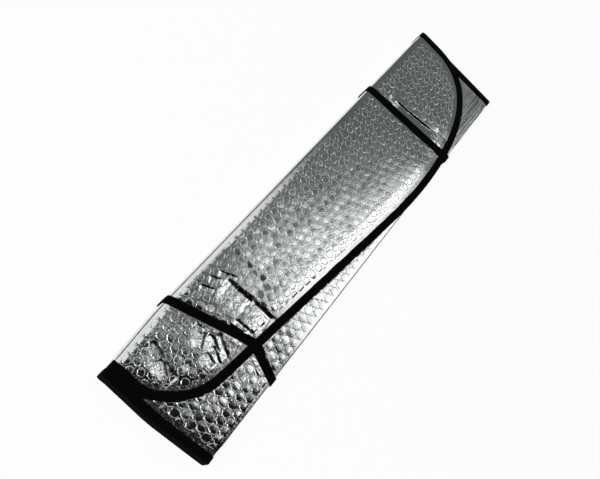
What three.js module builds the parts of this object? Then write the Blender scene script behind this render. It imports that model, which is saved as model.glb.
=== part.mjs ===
// A windscreen sunshade of bubble foil, folded to and fro into a flat pack and held by two elastic loops.
// Millimetres. +X runs along the folds to the near end, +Y across the panels, +Z up; the pack lies on Z = 0.
import * as THREE from 'three';

// The bound sheet: its size along the folds, and the panels between the folds
const BOUND_HEIGHT = 600;
const PANEL_WIDTH = 130;
const PANEL_COUNT = 10;
const FOIL_THICKNESS = 2;
const LAYER_GAP = 0.4;

// The free side of the two outer panels: a slanted edge between two rounded corners.
// Recess is how far the edge lies inside the full panel width; reach is measured from the end of the pack.
const FAR_RECESS = 5;
const NEAR_RECESS = 39;
const FAR_CORNER_REACH = 255;
const NEAR_CORNER_REACH = 70;
const FAR_CORNER_DEPTH = 100;
const NEAR_CORNER_DEPTH = 88;

// How full the two rounded corners are, as shares of their reach and depth, and the near one's lean
const FAR_FULLNESS = { along: 0.62, across: 0.2 };
const NEAR_FULLNESS = { along: 0.62, across: 0.55 };
const NEAR_LEAN = 2;

// The binding tape, folded over the sheet's edge, which the seam presses thin
const TAPE_SIDE = 8.5;
const TAPE_WALL = 0.45;
const TAPE_CLEARANCE = 0.3;
const TAPE_CHAMFER = 0.4;
const PRESSED_EDGE = 0.5;
const PRESSED_MARGIN = 5.5;
const PUCKER_WIDTH = 8;

// The bubbles: rows along the folds, low on the outer face and full on the back of the sheet
const BUBBLE_PITCH = 10.8;
const OUTER_BUBBLE_RISE = 0.6;
const BACK_BUBBLE_RISE = 0.9;
const BUBBLE_MARGIN = 8;

// The elastic loops: where each is sewn on, and how far along the pack it leans at the two long sides
const ELASTIC_WIDTH = 9.3;
const ELASTIC_THICKNESS = 1;
const ELASTIC_CLEARANCE = 0.45;
const ELASTIC_TAB = 24;
const TAB_INSET = 1;
const EDGE_OVERHANG = 3;
const DROP_RUN = 4.8;
const NEAR_LOOP = { fromEnd: 123.6, folds: 31, open: 15.5 };
const FAR_LOOP = { fromEnd: 125.6, folds: 10.7, open: -0.5 };

// How the pack sits in its loops: squeezed under each loop, fanned out and drawn in at the near end, and with
// the open side of its far end standing out
const SQUEEZE = 0.16;
const SQUEEZE_FLAT = 6;
const SQUEEZE_REACH = 45;
const FAN_OUT = 4;
const CORNER_PULL = 6.5;
const FOLD_PULL = 4;
const CORNER_PULL_LENGTH = 90;
const FAR_SPLAY = 5;
const FAR_SPLAY_LENGTH = 200;

// How finely curves are cut into straight steps
const FOLD_STEPS = 3;
const CORNER_STEPS = 16;
const FINE_CORNER_STEPS = 120;
const SHORTEST_STEP = 0.5;
const CLOSEST_STATION = 1;
const CLEAR_OF_ENDS = 2;
const CLEAR_OF_ROWS = 0.01;
const SQUEEZE_STEPS = 2;
const EDGE_SQUEEZE_STEPS = 3;
const PLAIN_STEP = 45;
const PLAIN_LEVELS = 3;

const boundEdge = PRESSED_EDGE + 2 * (TAPE_CLEARANCE + TAPE_WALL);
const layerPitch = Math.max(FOIL_THICKNESS, boundEdge) + LAYER_GAP;
const foldRadius = layerPitch / 2;
const foldArc = Math.PI * foldRadius;
const flatWidth = PANEL_WIDTH - foldArc;
const packThickness = PANEL_COUNT * layerPitch - LAYER_GAP;
const packWidth = flatWidth + 2 * foldRadius + FOIL_THICKNESS;
const sheetEnd = BOUND_HEIGHT / 2 - TAPE_WALL - TAPE_CLEARANCE;
const rowPitch = BUBBLE_PITCH * Math.sqrt(0.75);
const lastPanel = PANEL_COUNT - 1;

// The face of a panel that looks up: 1 is the sheet's outer face and -1 its bubbled back.
function upperFace(panel) {
  return panel % 2 === 0 ? 1 : -1;
}

function panelHeight(panel) {
  return (PANEL_COUNT - panel) * layerPitch - LAYER_GAP - (layerPitch - LAYER_GAP) / 2;
}

// Where a point of the sheet lies once it is folded, from its distance along the sheet and off its middle.
function foldedPlace(along, off) {
  const panel = THREE.MathUtils.clamp(Math.floor(along / PANEL_WIDTH), 0, lastPanel);
  const travel = panel % 2 === 0 ? -1 : 1;
  const s = along - panel * PANEL_WIDTH;
  const beforeFold = panel < lastPanel && s > PANEL_WIDTH - foldArc / 2;
  const afterFold = panel > 0 && s < foldArc / 2;
  if (!beforeFold && !afterFold) {
    return { y: travel * (s - PANEL_WIDTH / 2), z: panelHeight(panel) + upperFace(panel) * off };
  }
  const upper = beforeFold ? panel : panel - 1;
  const side = upper % 2 === 0 ? -1 : 1;
  const turn = (along - (upper + 1) * PANEL_WIDTH) / foldRadius + Math.PI / 2;
  const radius = foldRadius + upperFace(upper) * off;
  return {
    y: side * (flatWidth / 2 + radius * Math.sin(turn)),
    z: (panelHeight(upper) + panelHeight(upper + 1)) / 2 + radius * Math.cos(turn),
  };
}

const loops = [
  { name: 'elastic_band_far', sewnX: -BOUND_HEIGHT / 2 + FAR_LOOP.fromEnd, lean: FAR_LOOP },
  { name: 'elastic_band_near', sewnX: BOUND_HEIGHT / 2 - NEAR_LOOP.fromEnd, lean: NEAR_LOOP },
];

// The middle line of a loop, along the pack, over the top (level 1), underneath (level 0) and between.
function loopX(loop, y, level) {
  const folds = loop.sewnX + loop.lean.folds;
  const open = loop.sewnX + loop.lean.open;
  const across = THREE.MathUtils.clamp(y / packWidth + 0.5, 0, 1);
  const sewn = loop.sewnY / packWidth + 0.5;
  const over = across < sewn
    ? THREE.MathUtils.lerp(folds, loop.sewnX, across / sewn)
    : THREE.MathUtils.lerp(loop.sewnX, open, (across - sewn) / (1 - sewn));
  return THREE.MathUtils.lerp(THREE.MathUtils.lerp(folds, open, across), over, level);
}

// The places along the pack, on both sides of a loop's middle, between which the squeeze is nearly straight.
function besideLoopPlaces(middle, steps) {
  const places = [];
  for (let i = 0; i <= steps; i += 1) {
    const away = THREE.MathUtils.lerp(SQUEEZE_FLAT, SQUEEZE_REACH, i / steps);
    places.push(middle - away, middle + away);
  }
  return places;
}

// How the folded pack settles: thinner under the loops, drawn in at its near end and splayed at its far end.
function settle(x, y, z) {
  const middle = packThickness / 2;
  const level = THREE.MathUtils.clamp(z / packThickness, 0, 1);
  let pressed = 0;
  for (const loop of loops) {
    const away = Math.abs(x - loopX(loop, y, level));
    pressed = Math.max(pressed, 1 - THREE.MathUtils.smoothstep(away, SQUEEZE_FLAT, SQUEEZE_REACH));
  }
  const across = y / packWidth + 0.5;
  const openSide = THREE.MathUtils.clamp(2 * across - 1, 0, 1);
  const foldSide = THREE.MathUtils.clamp(1 - 2 * across, 0, 1);
  const nearEnd = THREE.MathUtils.smoothstep(x, BOUND_HEIGHT / 2 - CORNER_PULL_LENGTH, BOUND_HEIGHT / 2);
  const farEnd = THREE.MathUtils.smoothstep(-x, BOUND_HEIGHT / 2 - FAR_SPLAY_LENGTH, BOUND_HEIGHT / 2);
  return new THREE.Vector3(
    x - CORNER_PULL * nearEnd * openSide - FAR_SPLAY * farEnd * THREE.MathUtils.clamp(across, 0, 1),
    y + FAN_OUT * across * (x / BOUND_HEIGHT) + FOLD_PULL * nearEnd * foldSide,
    middle + (z - middle) * (1 - SQUEEZE * pressed),
  );
}

// The edge of an outer panel: x along the pack, y the distance out from the panel's fold.
function outerPanelEdge() {
  const farWidth = PANEL_WIDTH - FAR_RECESS;
  const nearWidth = PANEL_WIDTH - NEAR_RECESS;
  const farX = FAR_CORNER_REACH - sheetEnd;
  const nearX = sheetEnd - NEAR_CORNER_REACH;
  const slant = (nearWidth - farWidth) / (nearX - farX);
  const farHandle = FAR_CORNER_REACH * FAR_FULLNESS.along;
  const nearHandle = NEAR_CORNER_REACH * NEAR_FULLNESS.along;
  const edge = new THREE.Path();
  edge.moveTo(-sheetEnd, 0);
  edge.lineTo(-sheetEnd, PANEL_WIDTH - FAR_CORNER_DEPTH);
  edge.bezierCurveTo(
    -sheetEnd, PANEL_WIDTH - FAR_CORNER_DEPTH * FAR_FULLNESS.across,
    farX - farHandle, farWidth - farHandle * slant,
    farX, farWidth,
  );
  edge.lineTo(nearX, nearWidth);
  edge.bezierCurveTo(
    nearX + nearHandle, nearWidth + nearHandle * slant,
    sheetEnd - NEAR_LEAN, nearWidth - NEAR_CORNER_DEPTH * NEAR_FULLNESS.across,
    sheetEnd, nearWidth - NEAR_CORNER_DEPTH,
  );
  edge.lineTo(sheetEnd, 0);
  const points = edge.getPoints(CORNER_STEPS);
  const fine = edge.getPoints(FINE_CORNER_STEPS);
  for (const place of loops.flatMap((loop) => besideLoopPlaces(loop.sewnX, EDGE_SQUEEZE_STEPS))) {
    const next = fine.findIndex((p) => p.x > place);
    const [a, b] = [fine[next - 1], fine[next]];
    points.push(new THREE.Vector2(place, THREE.MathUtils.mapLinear(place, a.x, b.x, a.y, b.y)));
  }
  points.sort((p, q) => p.x - q.x || (p.x < 0 ? p.y - q.y : q.y - p.y));
  return points.filter((p, i) => i === 0 || p.distanceTo(points[i - 1]) > SHORTEST_STEP);
}

const panelEdge = outerPanelEdge();
const edgeTop = panelEdge.reduce((best, p) => (p.y > best.y ? p : best));

// The free edge's distance out from the fold at a place along the pack.
function freeEdgeAt(x) {
  const next = panelEdge.findIndex((p, i) => i > 0 && p.x >= x && p.x > panelEdge[i - 1].x);
  const a = panelEdge[next - 1];
  const b = panelEdge[next];
  return THREE.MathUtils.mapLinear(x, a.x, b.x, a.y, b.y);
}

for (const loop of loops) {
  loop.sewnY = freeEdgeAt(loop.sewnX) - PANEL_WIDTH / 2 - TAPE_SIDE / 2;
}

// The first and last x of an outer panel at a distance out from its fold.
function panelSpan(out) {
  const crossings = [];
  for (let i = 1; i < panelEdge.length; i += 1) {
    const a = panelEdge[i - 1];
    const b = panelEdge[i];
    if (a.y !== b.y && (a.y - out) * (b.y - out) <= 0) {
      crossings.push(THREE.MathUtils.mapLinear(out, a.y, b.y, a.x, b.x));
    }
  }
  return [Math.min(...crossings), Math.max(...crossings)];
}

// The distance of a point from an outer panel's edge, below zero outside it.
function insideEdge(x, out) {
  const point = new THREE.Vector3(x, out, 0);
  const nearest = new THREE.Vector3();
  const side = new THREE.Line3();
  let distance = Infinity;
  for (let i = 1; i < panelEdge.length; i += 1) {
    side.start.set(panelEdge[i - 1].x, panelEdge[i - 1].y, 0);
    side.end.set(panelEdge[i].x, panelEdge[i].y, 0);
    side.closestPointToPoint(point, true, nearest);
    distance = Math.min(distance, nearest.distanceTo(point));
  }
  if (out > edgeTop.y) return -distance;
  const [first, last] = panelSpan(out);
  return x > first && x < last ? distance : -distance;
}

// Half the sheet's thickness at a distance in from its edge: pressed flat in the seam, puckered beside it.
function halfThickness(inside) {
  const start = TAPE_SIDE + PRESSED_MARGIN;
  const full = THREE.MathUtils.clamp((inside - start) / PUCKER_WIDTH, 0, 1);
  return THREE.MathUtils.lerp(PRESSED_EDGE / 2, FOIL_THICKNESS / 2, full);
}

// Places along a row where the sheet bends: beside the binding at its ends, and beside each loop.
function plainStations(along, first, last, steps) {
  const { y, z } = foldedPlace(along, 0);
  const seam = TAPE_SIDE + PRESSED_MARGIN;
  const stations = [first, last];
  for (const inside of [seam, seam + PUCKER_WIDTH]) {
    stations.push(inside - sheetEnd, sheetEnd - inside);
  }
  for (const loop of loops) {
    stations.push(...besideLoopPlaces(loopX(loop, y, z / packThickness), steps));
  }
  return stations;
}

function tidyStations(stations, first, last) {
  const clear = stations.filter((x) => x > first + CLEAR_OF_ENDS && x < last - CLEAR_OF_ENDS);
  const inner = clear.sort((a, b) => a - b);
  const kept = inner.filter((x, i) => i === 0 || x - inner[i - 1] > CLOSEST_STATION);
  return first === last ? [first] : [first, ...kept, last];
}

// A level of the bubble pattern: even levels hold the crowns and the dips between them, odd levels only dips.
function bubbleLevel(level, first, last) {
  const crowns = level % 2 === 0;
  const step = BUBBLE_PITCH / 2;
  const shift = crowns ? (level % 4) / 2 * step : step / 2;
  const points = [];
  for (let i = Math.ceil((first - shift) / step); shift + i * step < last; i += 1) {
    points.push({ x: shift + i * step, crown: crowns && i % 2 === 0 });
  }
  return points;
}

// One surface made of rows of vertices, each row joined to the next.
class Surface {
  constructor() {
    this.positions = [];
    this.indices = [];
  }

  vertex(place) {
    this.positions.push(place.x, place.y, place.z);
    return this.positions.length / 3 - 1;
  }

  // Joins two rows whose points carry a key that grows along them; the side it faces follows their order.
  zip(a, b, key) {
    let i = 0;
    let j = 0;
    while (i < a.length - 1 || j < b.length - 1) {
      const stepA = j === b.length - 1 || (i < a.length - 1 && a[i + 1][key] < b[j + 1][key]);
      const next = stepA ? a[i + 1] : b[j + 1];
      const corners = [a[i].index, b[j].index, next.index];
      if (new Set(corners).size === 3) this.indices.push(...corners);
      if (stepA) i += 1;
      else j += 1;
    }
  }

  // Joins a ring of sections, each a closed loop of vertex numbers.
  ring(sections) {
    sections.forEach((section, k) => {
      const next = sections[(k + 1) % sections.length];
      section.forEach((corner, i) => {
        const after = (i + 1) % section.length;
        this.indices.push(corner, section[after], next[after]);
        this.indices.push(corner, next[after], next[i]);
      });
    });
  }

  geometry() {
    const made = new THREE.BufferGeometry();
    made.setAttribute('position', new THREE.Float32BufferAttribute(this.positions, 3));
    made.setIndex(this.indices);
    made.computeVertexNormals();
    return made;
  }
}

// The distance out from the fold of an outer panel, for a distance along the sheet.
function outOf(panel, along) {
  return panel === 0 ? PANEL_WIDTH - along : along - lastPanel * PANEL_WIDTH;
}

// Whether a face of a panel has bubbles: the top panel's outer face, and what shows of the panel under it.
function isBubbled(panel, face) {
  return panel < 2 && face === upperFace(panel);
}

function besideLoop(x, y, level) {
  const reach = ELASTIC_WIDTH / 2 + BUBBLE_MARGIN;
  return loops.some((loop) => {
    const tab = Math.abs(y - loop.sewnY) < reach ? ELASTIC_TAB / 2 + BUBBLE_MARGIN : 0;
    return Math.abs(x - loopX(loop, y, level)) < Math.max(reach, tab);
  });
}

// One row of the sheet on one face, with its bubbles where that face shows.
function sheetRow(surface, face, panel, along, level) {
  const outer = panel === 0 || panel === lastPanel;
  const middle = foldedPlace(along, 0);
  const out = outer ? Math.min(outOf(panel, along), edgeTop.y) : middle.y + PANEL_WIDTH / 2;
  const [first, last] = outer && out > 0 ? panelSpan(out) : [-sheetEnd, sheetEnd];
  const bubbled = level !== null && isBubbled(panel, face);
  const lattice = bubbled ? bubbleLevel(level, -sheetEnd, sheetEnd) : [];
  const rise = panel === 0 ? OUTER_BUBBLE_RISE : BACK_BUBBLE_RISE;
  const shows = (x) => panel === 0 || insideEdge(x, out) < 0;
  const crowns = new Map(lattice.filter((p) => shows(p.x)).map((p) => [p.x, p.crown]));
  const steps = outer ? EDGE_SQUEEZE_STEPS : SQUEEZE_STEPS;
  const plain = bubbled && panel === 0 ? [] : plainStations(along, first, last, steps);
  if (outer && !bubbled) {
    for (let x = -sheetEnd; x < sheetEnd; x += PLAIN_STEP) plain.push(x);
  }
  const clearOfLattice = plain.filter((x) => !bubbled || !shows(x));
  const stations = tidyStations([...crowns.keys(), ...clearOfLattice], first, last);
  return stations.map((x) => {
    const inside = outer ? Math.max(0, insideEdge(x, out)) : sheetEnd - Math.abs(x);
    const seam = TAPE_SIDE + PRESSED_MARGIN + PUCKER_WIDTH;
    const past = panel === 0 ? inside - seam : Math.min(inside - seam, -insideEdge(x, out) - BUBBLE_MARGIN);
    const risen = crowns.get(x) && past > 0 && !besideLoop(x, middle.y, middle.z / packThickness);
    const off = halfThickness(inside) + (risen ? rise : 0);
    const place = foldedPlace(along, face * off);
    return { x, along, index: surface.vertex(settle(x, place.y, place.z)) };
  });
}

// The distances along the sheet, and the bubble levels, at which one face has its rows.
function sheetLevels(face) {
  const levels = [];
  const halfRow = rowPitch / 2;
  for (let panel = 0; panel < PANEL_COUNT; panel += 1) {
    const start = panel * PANEL_WIDTH;
    const outer = panel === 0 || panel === lastPanel;
    const bubbled = isBubbled(panel, face);
    const from = panel === 0 ? PANEL_WIDTH - edgeTop.y : start + foldArc / 2;
    const to = panel === lastPanel ? start + edgeTop.y : start + PANEL_WIDTH - foldArc / 2;
    levels.push({ panel, along: from, level: null });
    if (outer || bubbled) {
      const step = bubbled ? 1 : PLAIN_LEVELS;
      const count = Math.floor((PANEL_WIDTH - foldArc) / halfRow);
      for (let level = 1; level <= count; level += step) {
        const along = start + foldArc / 2 + level * halfRow;
        if (along > from + CLOSEST_STATION && along < to - CLOSEST_STATION) levels.push({ panel, along, level });
      }
    }
    if (!outer && !bubbled) levels.push({ panel, along: start + PANEL_WIDTH / 2, level: null });
    levels.push({ panel, along: to, level: null });
    for (let i = 1; i < FOLD_STEPS && panel < lastPanel; i += 1) {
      levels.push({ panel, along: to + foldArc * i / FOLD_STEPS, level: null });
    }
  }
  return levels;
}

// The corners of an outer panel's edge that lie between two rows, on its far or near side, in step with along.
function edgeBetween(surface, face, a, b) {
  const panel = b < PANEL_WIDTH ? 0 : lastPanel;
  const corners = panelEdge.map((p) => {
    const along = panel === 0 ? PANEL_WIDTH - p.y : lastPanel * PANEL_WIDTH + p.y;
    return { x: p.x, along };
  });
  const between = corners.filter((p) => p.along > a + CLEAR_OF_ROWS && p.along < b - CLEAR_OF_ROWS);
  const placed = between.map((p) => {
    const place = foldedPlace(p.along, face * PRESSED_EDGE / 2);
    return { ...p, index: surface.vertex(settle(p.x, place.y, place.z)) };
  });
  const far = placed.filter((p) => p.x < edgeTop.x).sort((p, q) => p.along - q.along);
  const near = placed.filter((p) => p.x > edgeTop.x).sort((p, q) => p.along - q.along);
  return { far, near };
}

// One face of the whole sheet: its rows joined up, and the chains of vertices at its two ends.
function sheetFace(surface, face) {
  const levels = sheetLevels(face);
  const rows = levels.map(({ panel, along, level }) => sheetRow(surface, face, panel, along, level));
  const ends = { far: [rows[0][0]], near: [rows[0][rows[0].length - 1]] };
  for (let i = 1; i < rows.length; i += 1) {
    const [a, b] = [levels[i - 1].along, levels[i].along];
    const free = a < PANEL_WIDTH - foldArc || b > lastPanel * PANEL_WIDTH + foldArc;
    const { far, near } = free ? edgeBetween(surface, face, a, b) : { far: [], near: [] };
    const widening = b < PANEL_WIDTH;
    const first = widening ? [...far.toReversed(), ...rows[i - 1], ...near] : rows[i - 1];
    const second = widening ? rows[i] : [...far, ...rows[i], ...near.toReversed()];
    if (face === 1) surface.zip(first, second, 'x');
    else surface.zip(second, first, 'x');
    ends.far.push(...far, rows[i][0]);
    ends.near.push(...near, rows[i][rows[i].length - 1]);
  }
  return ends;
}

function foilSheet() {
  const surface = new Surface();
  const outer = sheetFace(surface, 1);
  const back = sheetFace(surface, -1);
  surface.zip(outer.far, back.far, 'along');
  surface.zip(back.near, outer.near, 'along');
  return surface.geometry();
}

// The way round the free side of an outer panel, as x and distance along the sheet.
function freeSideRoute(panel) {
  const inner = panelEdge.slice(1, -1);
  return inner.map((p) => new THREE.Vector2(p.x, panel === 0 ? PANEL_WIDTH - p.y : lastPanel * PANEL_WIDTH + p.y));
}

function foldedEndRoute(x) {
  const route = [];
  for (let upper = 0; upper < lastPanel; upper += 1) {
    const fold = (upper + 1) * PANEL_WIDTH;
    if (upper > 0) route.push(new THREE.Vector2(x, fold - PANEL_WIDTH / 2));
    for (let i = 0; i <= FOLD_STEPS; i += 1) {
      route.push(new THREE.Vector2(x, fold + foldArc * (i / FOLD_STEPS - 0.5)));
    }
  }
  return route;
}

// The binding: a channel of tape swept once round the whole edge of the folded sheet.
function edgeBinding() {
  const route = [
    ...freeSideRoute(0),
    ...foldedEndRoute(sheetEnd),
    ...freeSideRoute(lastPanel).reverse(),
    ...foldedEndRoute(-sheetEnd).reverse(),
  ];
  const pocket = PRESSED_EDGE / 2 + TAPE_CLEARANCE;
  const skin = pocket + TAPE_WALL;
  const back = -TAPE_CLEARANCE - TAPE_WALL;
  const section = [
    [TAPE_SIDE, skin],
    [TAPE_SIDE, pocket],
    [-TAPE_CLEARANCE, pocket],
    [-TAPE_CLEARANCE, -pocket],
    [TAPE_SIDE, -pocket],
    [TAPE_SIDE, -skin],
    [back + TAPE_CHAMFER, -skin],
    [back, -skin + TAPE_CHAMFER],
    [back, skin - TAPE_CHAMFER],
    [back + TAPE_CHAMFER, skin],
  ];
  const surface = new Surface();
  const sections = route.map((here, k) => {
    const before = route[(k + route.length - 1) % route.length];
    const after = route[(k + 1) % route.length];
    const way = after.clone().sub(here).normalize().add(here.clone().sub(before).normalize()).normalize();
    const inward = new THREE.Vector2(-way.y, way.x);
    return section.map(([inside, off]) => {
      const spot = here.clone().addScaledVector(inward, inside);
      const place = foldedPlace(spot.y, off);
      return surface.vertex(settle(spot.x, place.y, place.z));
    });
  });
  surface.ring(sections);
  return surface.geometry();
}

// Where a loop crosses the free edge of the outer panel it lies on, as a distance across the pack.
function edgeCrossing(loop, level) {
  let y = loop.sewnY;
  for (let i = 0; i < 4; i += 1) y = freeEdgeAt(loopX(loop, y, level)) - PANEL_WIDTH / 2;
  return y;
}

// Half the way round a loop, over the top from the folds' side to the open side, with the outward turn.
function loopHalf(loop, level) {
  const reach = foldRadius + FOIL_THICKNESS / 2 + ELASTIC_CLEARANCE;
  const top = packThickness + ELASTIC_CLEARANCE;
  const foldCentre = top - reach;
  const sewn = loop.sewnY;
  const edge = edgeCrossing(loop, level) + TAPE_WALL + TAPE_CLEARANCE + EDGE_OVERHANG;
  const drop = edge + DROP_RUN < flatWidth / 2 ? layerPitch : 0;
  const half = [];
  for (let i = 0; i <= FOLD_STEPS; i += 1) {
    const turn = Math.PI / 2 * (i / FOLD_STEPS - 1);
    half.push({ y: -flatWidth / 2 + reach * Math.sin(turn), z: foldCentre + reach * Math.cos(turn), turn });
  }
  half.push({ y: sewn - TAPE_SIDE, z: top, turn: 0 });
  const tab = level === 1;
  half.push({ y: sewn - TAPE_SIDE / 2 + TAB_INSET, z: top, turn: 0, tab });
  half.push({ y: sewn, z: top, turn: 0, tab });
  half.push({ y: sewn + TAPE_SIDE / 2 - TAB_INSET, z: top, turn: 0, tab });
  if (drop > 0) {
    half.push({ y: edge, z: top, turn: 0 });
    half.push({ y: edge + DROP_RUN, z: top - drop, turn: 0 });
  }
  for (let i = 0; i <= FOLD_STEPS; i += 1) {
    const turn = Math.PI / 2 * i / FOLD_STEPS;
    half.push({ y: flatWidth / 2 + reach * Math.sin(turn), z: foldCentre - drop + reach * Math.cos(turn), turn });
  }
  return half;
}

function elasticLoop(loop) {
  const over = loopHalf(loop, 1);
  const under = loopHalf(loop, 0).map((p) => ({ ...p, z: packThickness - p.z, turn: Math.PI - p.turn }));
  const route = [...over, ...under.reverse()];
  const surface = new Surface();
  const middles = route.map((p) => {
    const level = THREE.MathUtils.clamp(p.z / packThickness, 0, 1);
    return new THREE.Vector3(loopX(loop, p.y, level), p.y, p.z);
  });
  const sections = route.map((p, k) => {
    const before = middles[(k + route.length - 1) % route.length];
    const after = middles[(k + 1) % route.length];
    const way = after.clone().sub(before).normalize();
    const outward = new THREE.Vector3(0, Math.sin(p.turn), Math.cos(p.turn));
    const across = new THREE.Vector3().crossVectors(way, outward).normalize();
    const half = (p.tab ? ELASTIC_TAB : ELASTIC_WIDTH) / 2;
    const corners = [[-half, ELASTIC_THICKNESS], [half, ELASTIC_THICKNESS], [half, 0], [-half, 0]];
    return corners.map(([sideways, raised]) => {
      const spot = middles[k].clone().addScaledVector(across, sideways).addScaledVector(outward, raised);
      return surface.vertex(settle(spot.x, spot.y, spot.z));
    });
  });
  surface.ring(sections);
  return surface.geometry();
}

const foil = new THREE.MeshStandardMaterial({ color: 0xb9bdbb, roughness: 0.24, metalness: 0.95 });
const tape = new THREE.MeshStandardMaterial({ color: 0x0c0c0d, roughness: 0.9, metalness: 0 });
const elastic = new THREE.MeshStandardMaterial({ color: 0x0e0e10, roughness: 0.85, metalness: 0 });

function piece(name, geometry, material) {
  const mesh = new THREE.Mesh(geometry, material);
  mesh.name = name;
  return mesh;
}

const sunshade = new THREE.Group();
sunshade.name = 'windscreen_sunshade';
sunshade.add(piece('foil_sheet', foilSheet(), foil));
sunshade.add(piece('edge_binding', edgeBinding(), tape));
for (const loop of loops) sunshade.add(piece(loop.name, elasticLoop(loop), elastic));

// The origin is the middle of the box's underside.
const box = new THREE.Box3().setFromObject(sunshade);
const centre = box.getCenter(new THREE.Vector3());
sunshade.position.set(-centre.x, -centre.y, -box.min.z);

export default sunshade;
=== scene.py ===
"""The looks of a windscreen sunshade of bubble foil, folded into a pack and held by two elastic loops."""

import math

import bpy
import numpy as np
from mathutils import Matrix, Vector


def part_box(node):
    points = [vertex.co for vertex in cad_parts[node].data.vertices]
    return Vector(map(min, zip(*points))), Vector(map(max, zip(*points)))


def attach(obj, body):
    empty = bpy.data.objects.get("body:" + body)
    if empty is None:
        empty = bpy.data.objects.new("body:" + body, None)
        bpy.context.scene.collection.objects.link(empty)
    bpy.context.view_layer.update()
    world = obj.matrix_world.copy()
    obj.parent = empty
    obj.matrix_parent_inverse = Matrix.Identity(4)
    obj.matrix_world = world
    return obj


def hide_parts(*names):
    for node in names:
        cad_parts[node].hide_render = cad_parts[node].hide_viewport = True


bl_info = {
    "name": "Folded windscreen sunshade",
    "version": (1, 0, 0),
    "blender": (4, 5, 0),
    "location": "View3D > Sidebar > Sunshade",
    "description": "Builds a folded bubble-foil windscreen sunshade with its binding, loops and stage",
    "category": "Add Mesh",
}

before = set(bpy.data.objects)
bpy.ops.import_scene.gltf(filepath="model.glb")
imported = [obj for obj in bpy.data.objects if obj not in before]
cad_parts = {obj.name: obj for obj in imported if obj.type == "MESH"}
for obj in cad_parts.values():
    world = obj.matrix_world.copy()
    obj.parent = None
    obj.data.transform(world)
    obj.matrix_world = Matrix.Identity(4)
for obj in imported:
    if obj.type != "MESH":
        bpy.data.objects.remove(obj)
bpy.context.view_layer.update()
# The picture's width in pixels, which the focal length is given in
FRAME_WIDTH = 600


def length(name, description, default):
    """A size in metres for the panel."""
    return bpy.props.FloatProperty(
        name=name, description=description, default=default, unit="LENGTH", precision=5
    )


def share(name, description, default):
    """A share from 0 to 1 for the panel."""
    return bpy.props.FloatProperty(
        name=name, description=description, default=default, subtype="FACTOR", min=0, max=1
    )


def brightness(name, description, default):
    """A radiance for the panel."""
    return bpy.props.FloatProperty(name=name, description=description, default=default, min=0)


def colour(name, description, default):
    """A colour for the panel."""
    return bpy.props.FloatVectorProperty(
        name=name, description=description, default=default, subtype="COLOR", size=3, min=0, max=1
    )


class SheetSizes(bpy.types.PropertyGroup):
    """The bound sheet, its folds and the outline of its two outer panels."""

    bound_height: length("Bound height", "Size of the sheet along its folds, with the binding", 0.6)
    panel_width: length("Panel width", "Distance between two folds along the sheet", 0.13)
    panel_count: bpy.props.IntProperty(
        name="Panels", description="Panels between the folds", default=10, min=3
    )
    thickness: length("Thickness", "Thickness of the foil and its bubbles", 0.002)
    layer_gap: length("Layer gap", "Air between two layers of the pack", 0.0004)
    far_recess: length("Far recess", "How far the free edge lies inside the width at its far end", 0.005)
    near_recess: length("Near recess", "How far the free edge lies inside the width at its near end", 0.039)
    far_corner_reach: length("Far corner reach", "Where the far rounded corner ends, along the pack", 0.255)
    near_corner_reach: length("Near corner reach", "Where the near rounded corner ends, along the pack", 0.07)
    far_corner_depth: length("Far corner depth", "Depth of the far rounded corner, across the pack", 0.1)
    near_corner_depth: length("Near corner depth", "Depth of the near rounded corner, across the pack", 0.088)
    bubble_pitch: length("Bubble pitch", "Distance between the bubbles of a row", 0.0108)
    outer_rise: length("Outer bubble rise", "Height of the bubbles on the outer face", 0.0006)
    back_rise: length("Back bubble rise", "Height of the bubbles on the back", 0.0009)
    bubble_radius: length("Bubble radius", "Radius of a bubble at its foot", 0.0045)
    dome_share: share("Dome share", "How much of an outer bubble's height is a round dome", 0.16)
    back_dome_share: share("Back dome share", "How much of a back bubble's height is a round dome", 0.36)
    foil: colour("Foil", "Colour of the metallised film", (0.82, 0.84, 0.83))


class TapeSizes(bpy.types.PropertyGroup):
    """The binding tape and its seam."""

    side: length("Side", "How far the tape reaches in from the edge", 0.0085)
    wall: length("Wall", "Thickness of the tape", 0.00045)
    clearance: length("Clearance", "Air between the tape and the sheet's edge", 0.0003)
    pressed_edge: length("Pressed edge", "Thickness of the sheet inside the tape", 0.0005)
    pressed_margin: length("Pressed margin", "Width of pressed sheet beside the tape", 0.0055)
    pucker: length("Pucker", "Width over which the sheet reaches its full thickness", 0.008)
    stitch_pitch: length("Stitch pitch", "Distance between two stitches", 0.0036)
    stitch_inset: length("Stitch inset", "How far the seam lies from the tape's inner edge", 0.002)
    thread: length("Thread", "Thickness of the sewing thread", 0.00035)
    tape: colour("Tape", "Colour of the binding tape", (0.0012, 0.0012, 0.0014))


class LoopSizes(bpy.types.PropertyGroup):
    """The two elastic loops."""

    width: length("Width", "Width of the elastic", 0.0093)
    thickness: length("Thickness", "Thickness of the elastic", 0.001)
    clearance: length("Clearance", "Air between the elastic and the pack", 0.00045)
    tab: length("Tab", "Length of the sewn ends along the binding", 0.024)
    overhang: length("Overhang", "How far the elastic runs level past the free edge", 0.003)
    near_from_end: length("Near loop", "Where the near loop is sewn on, from the near end", 0.1236)
    near_folds: length("Near loop, folds", "Lean of the near loop at the folds' side", 0.031)
    near_open: length("Near loop, open side", "Lean of the near loop at the open side", 0.0155)
    far_from_end: length("Far loop", "Where the far loop is sewn on, from the far end", 0.1256)
    far_folds: length("Far loop, folds", "Lean of the far loop at the folds' side", 0.0107)
    far_open: length("Far loop, open side", "Lean of the far loop at the open side", -0.0005)
    ribs: bpy.props.IntProperty(name="Ribs", description="Ribs across the elastic", default=7, min=1)
    elastic: colour("Elastic", "Colour of the elastic", (0.0012, 0.0012, 0.0015))


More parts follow.
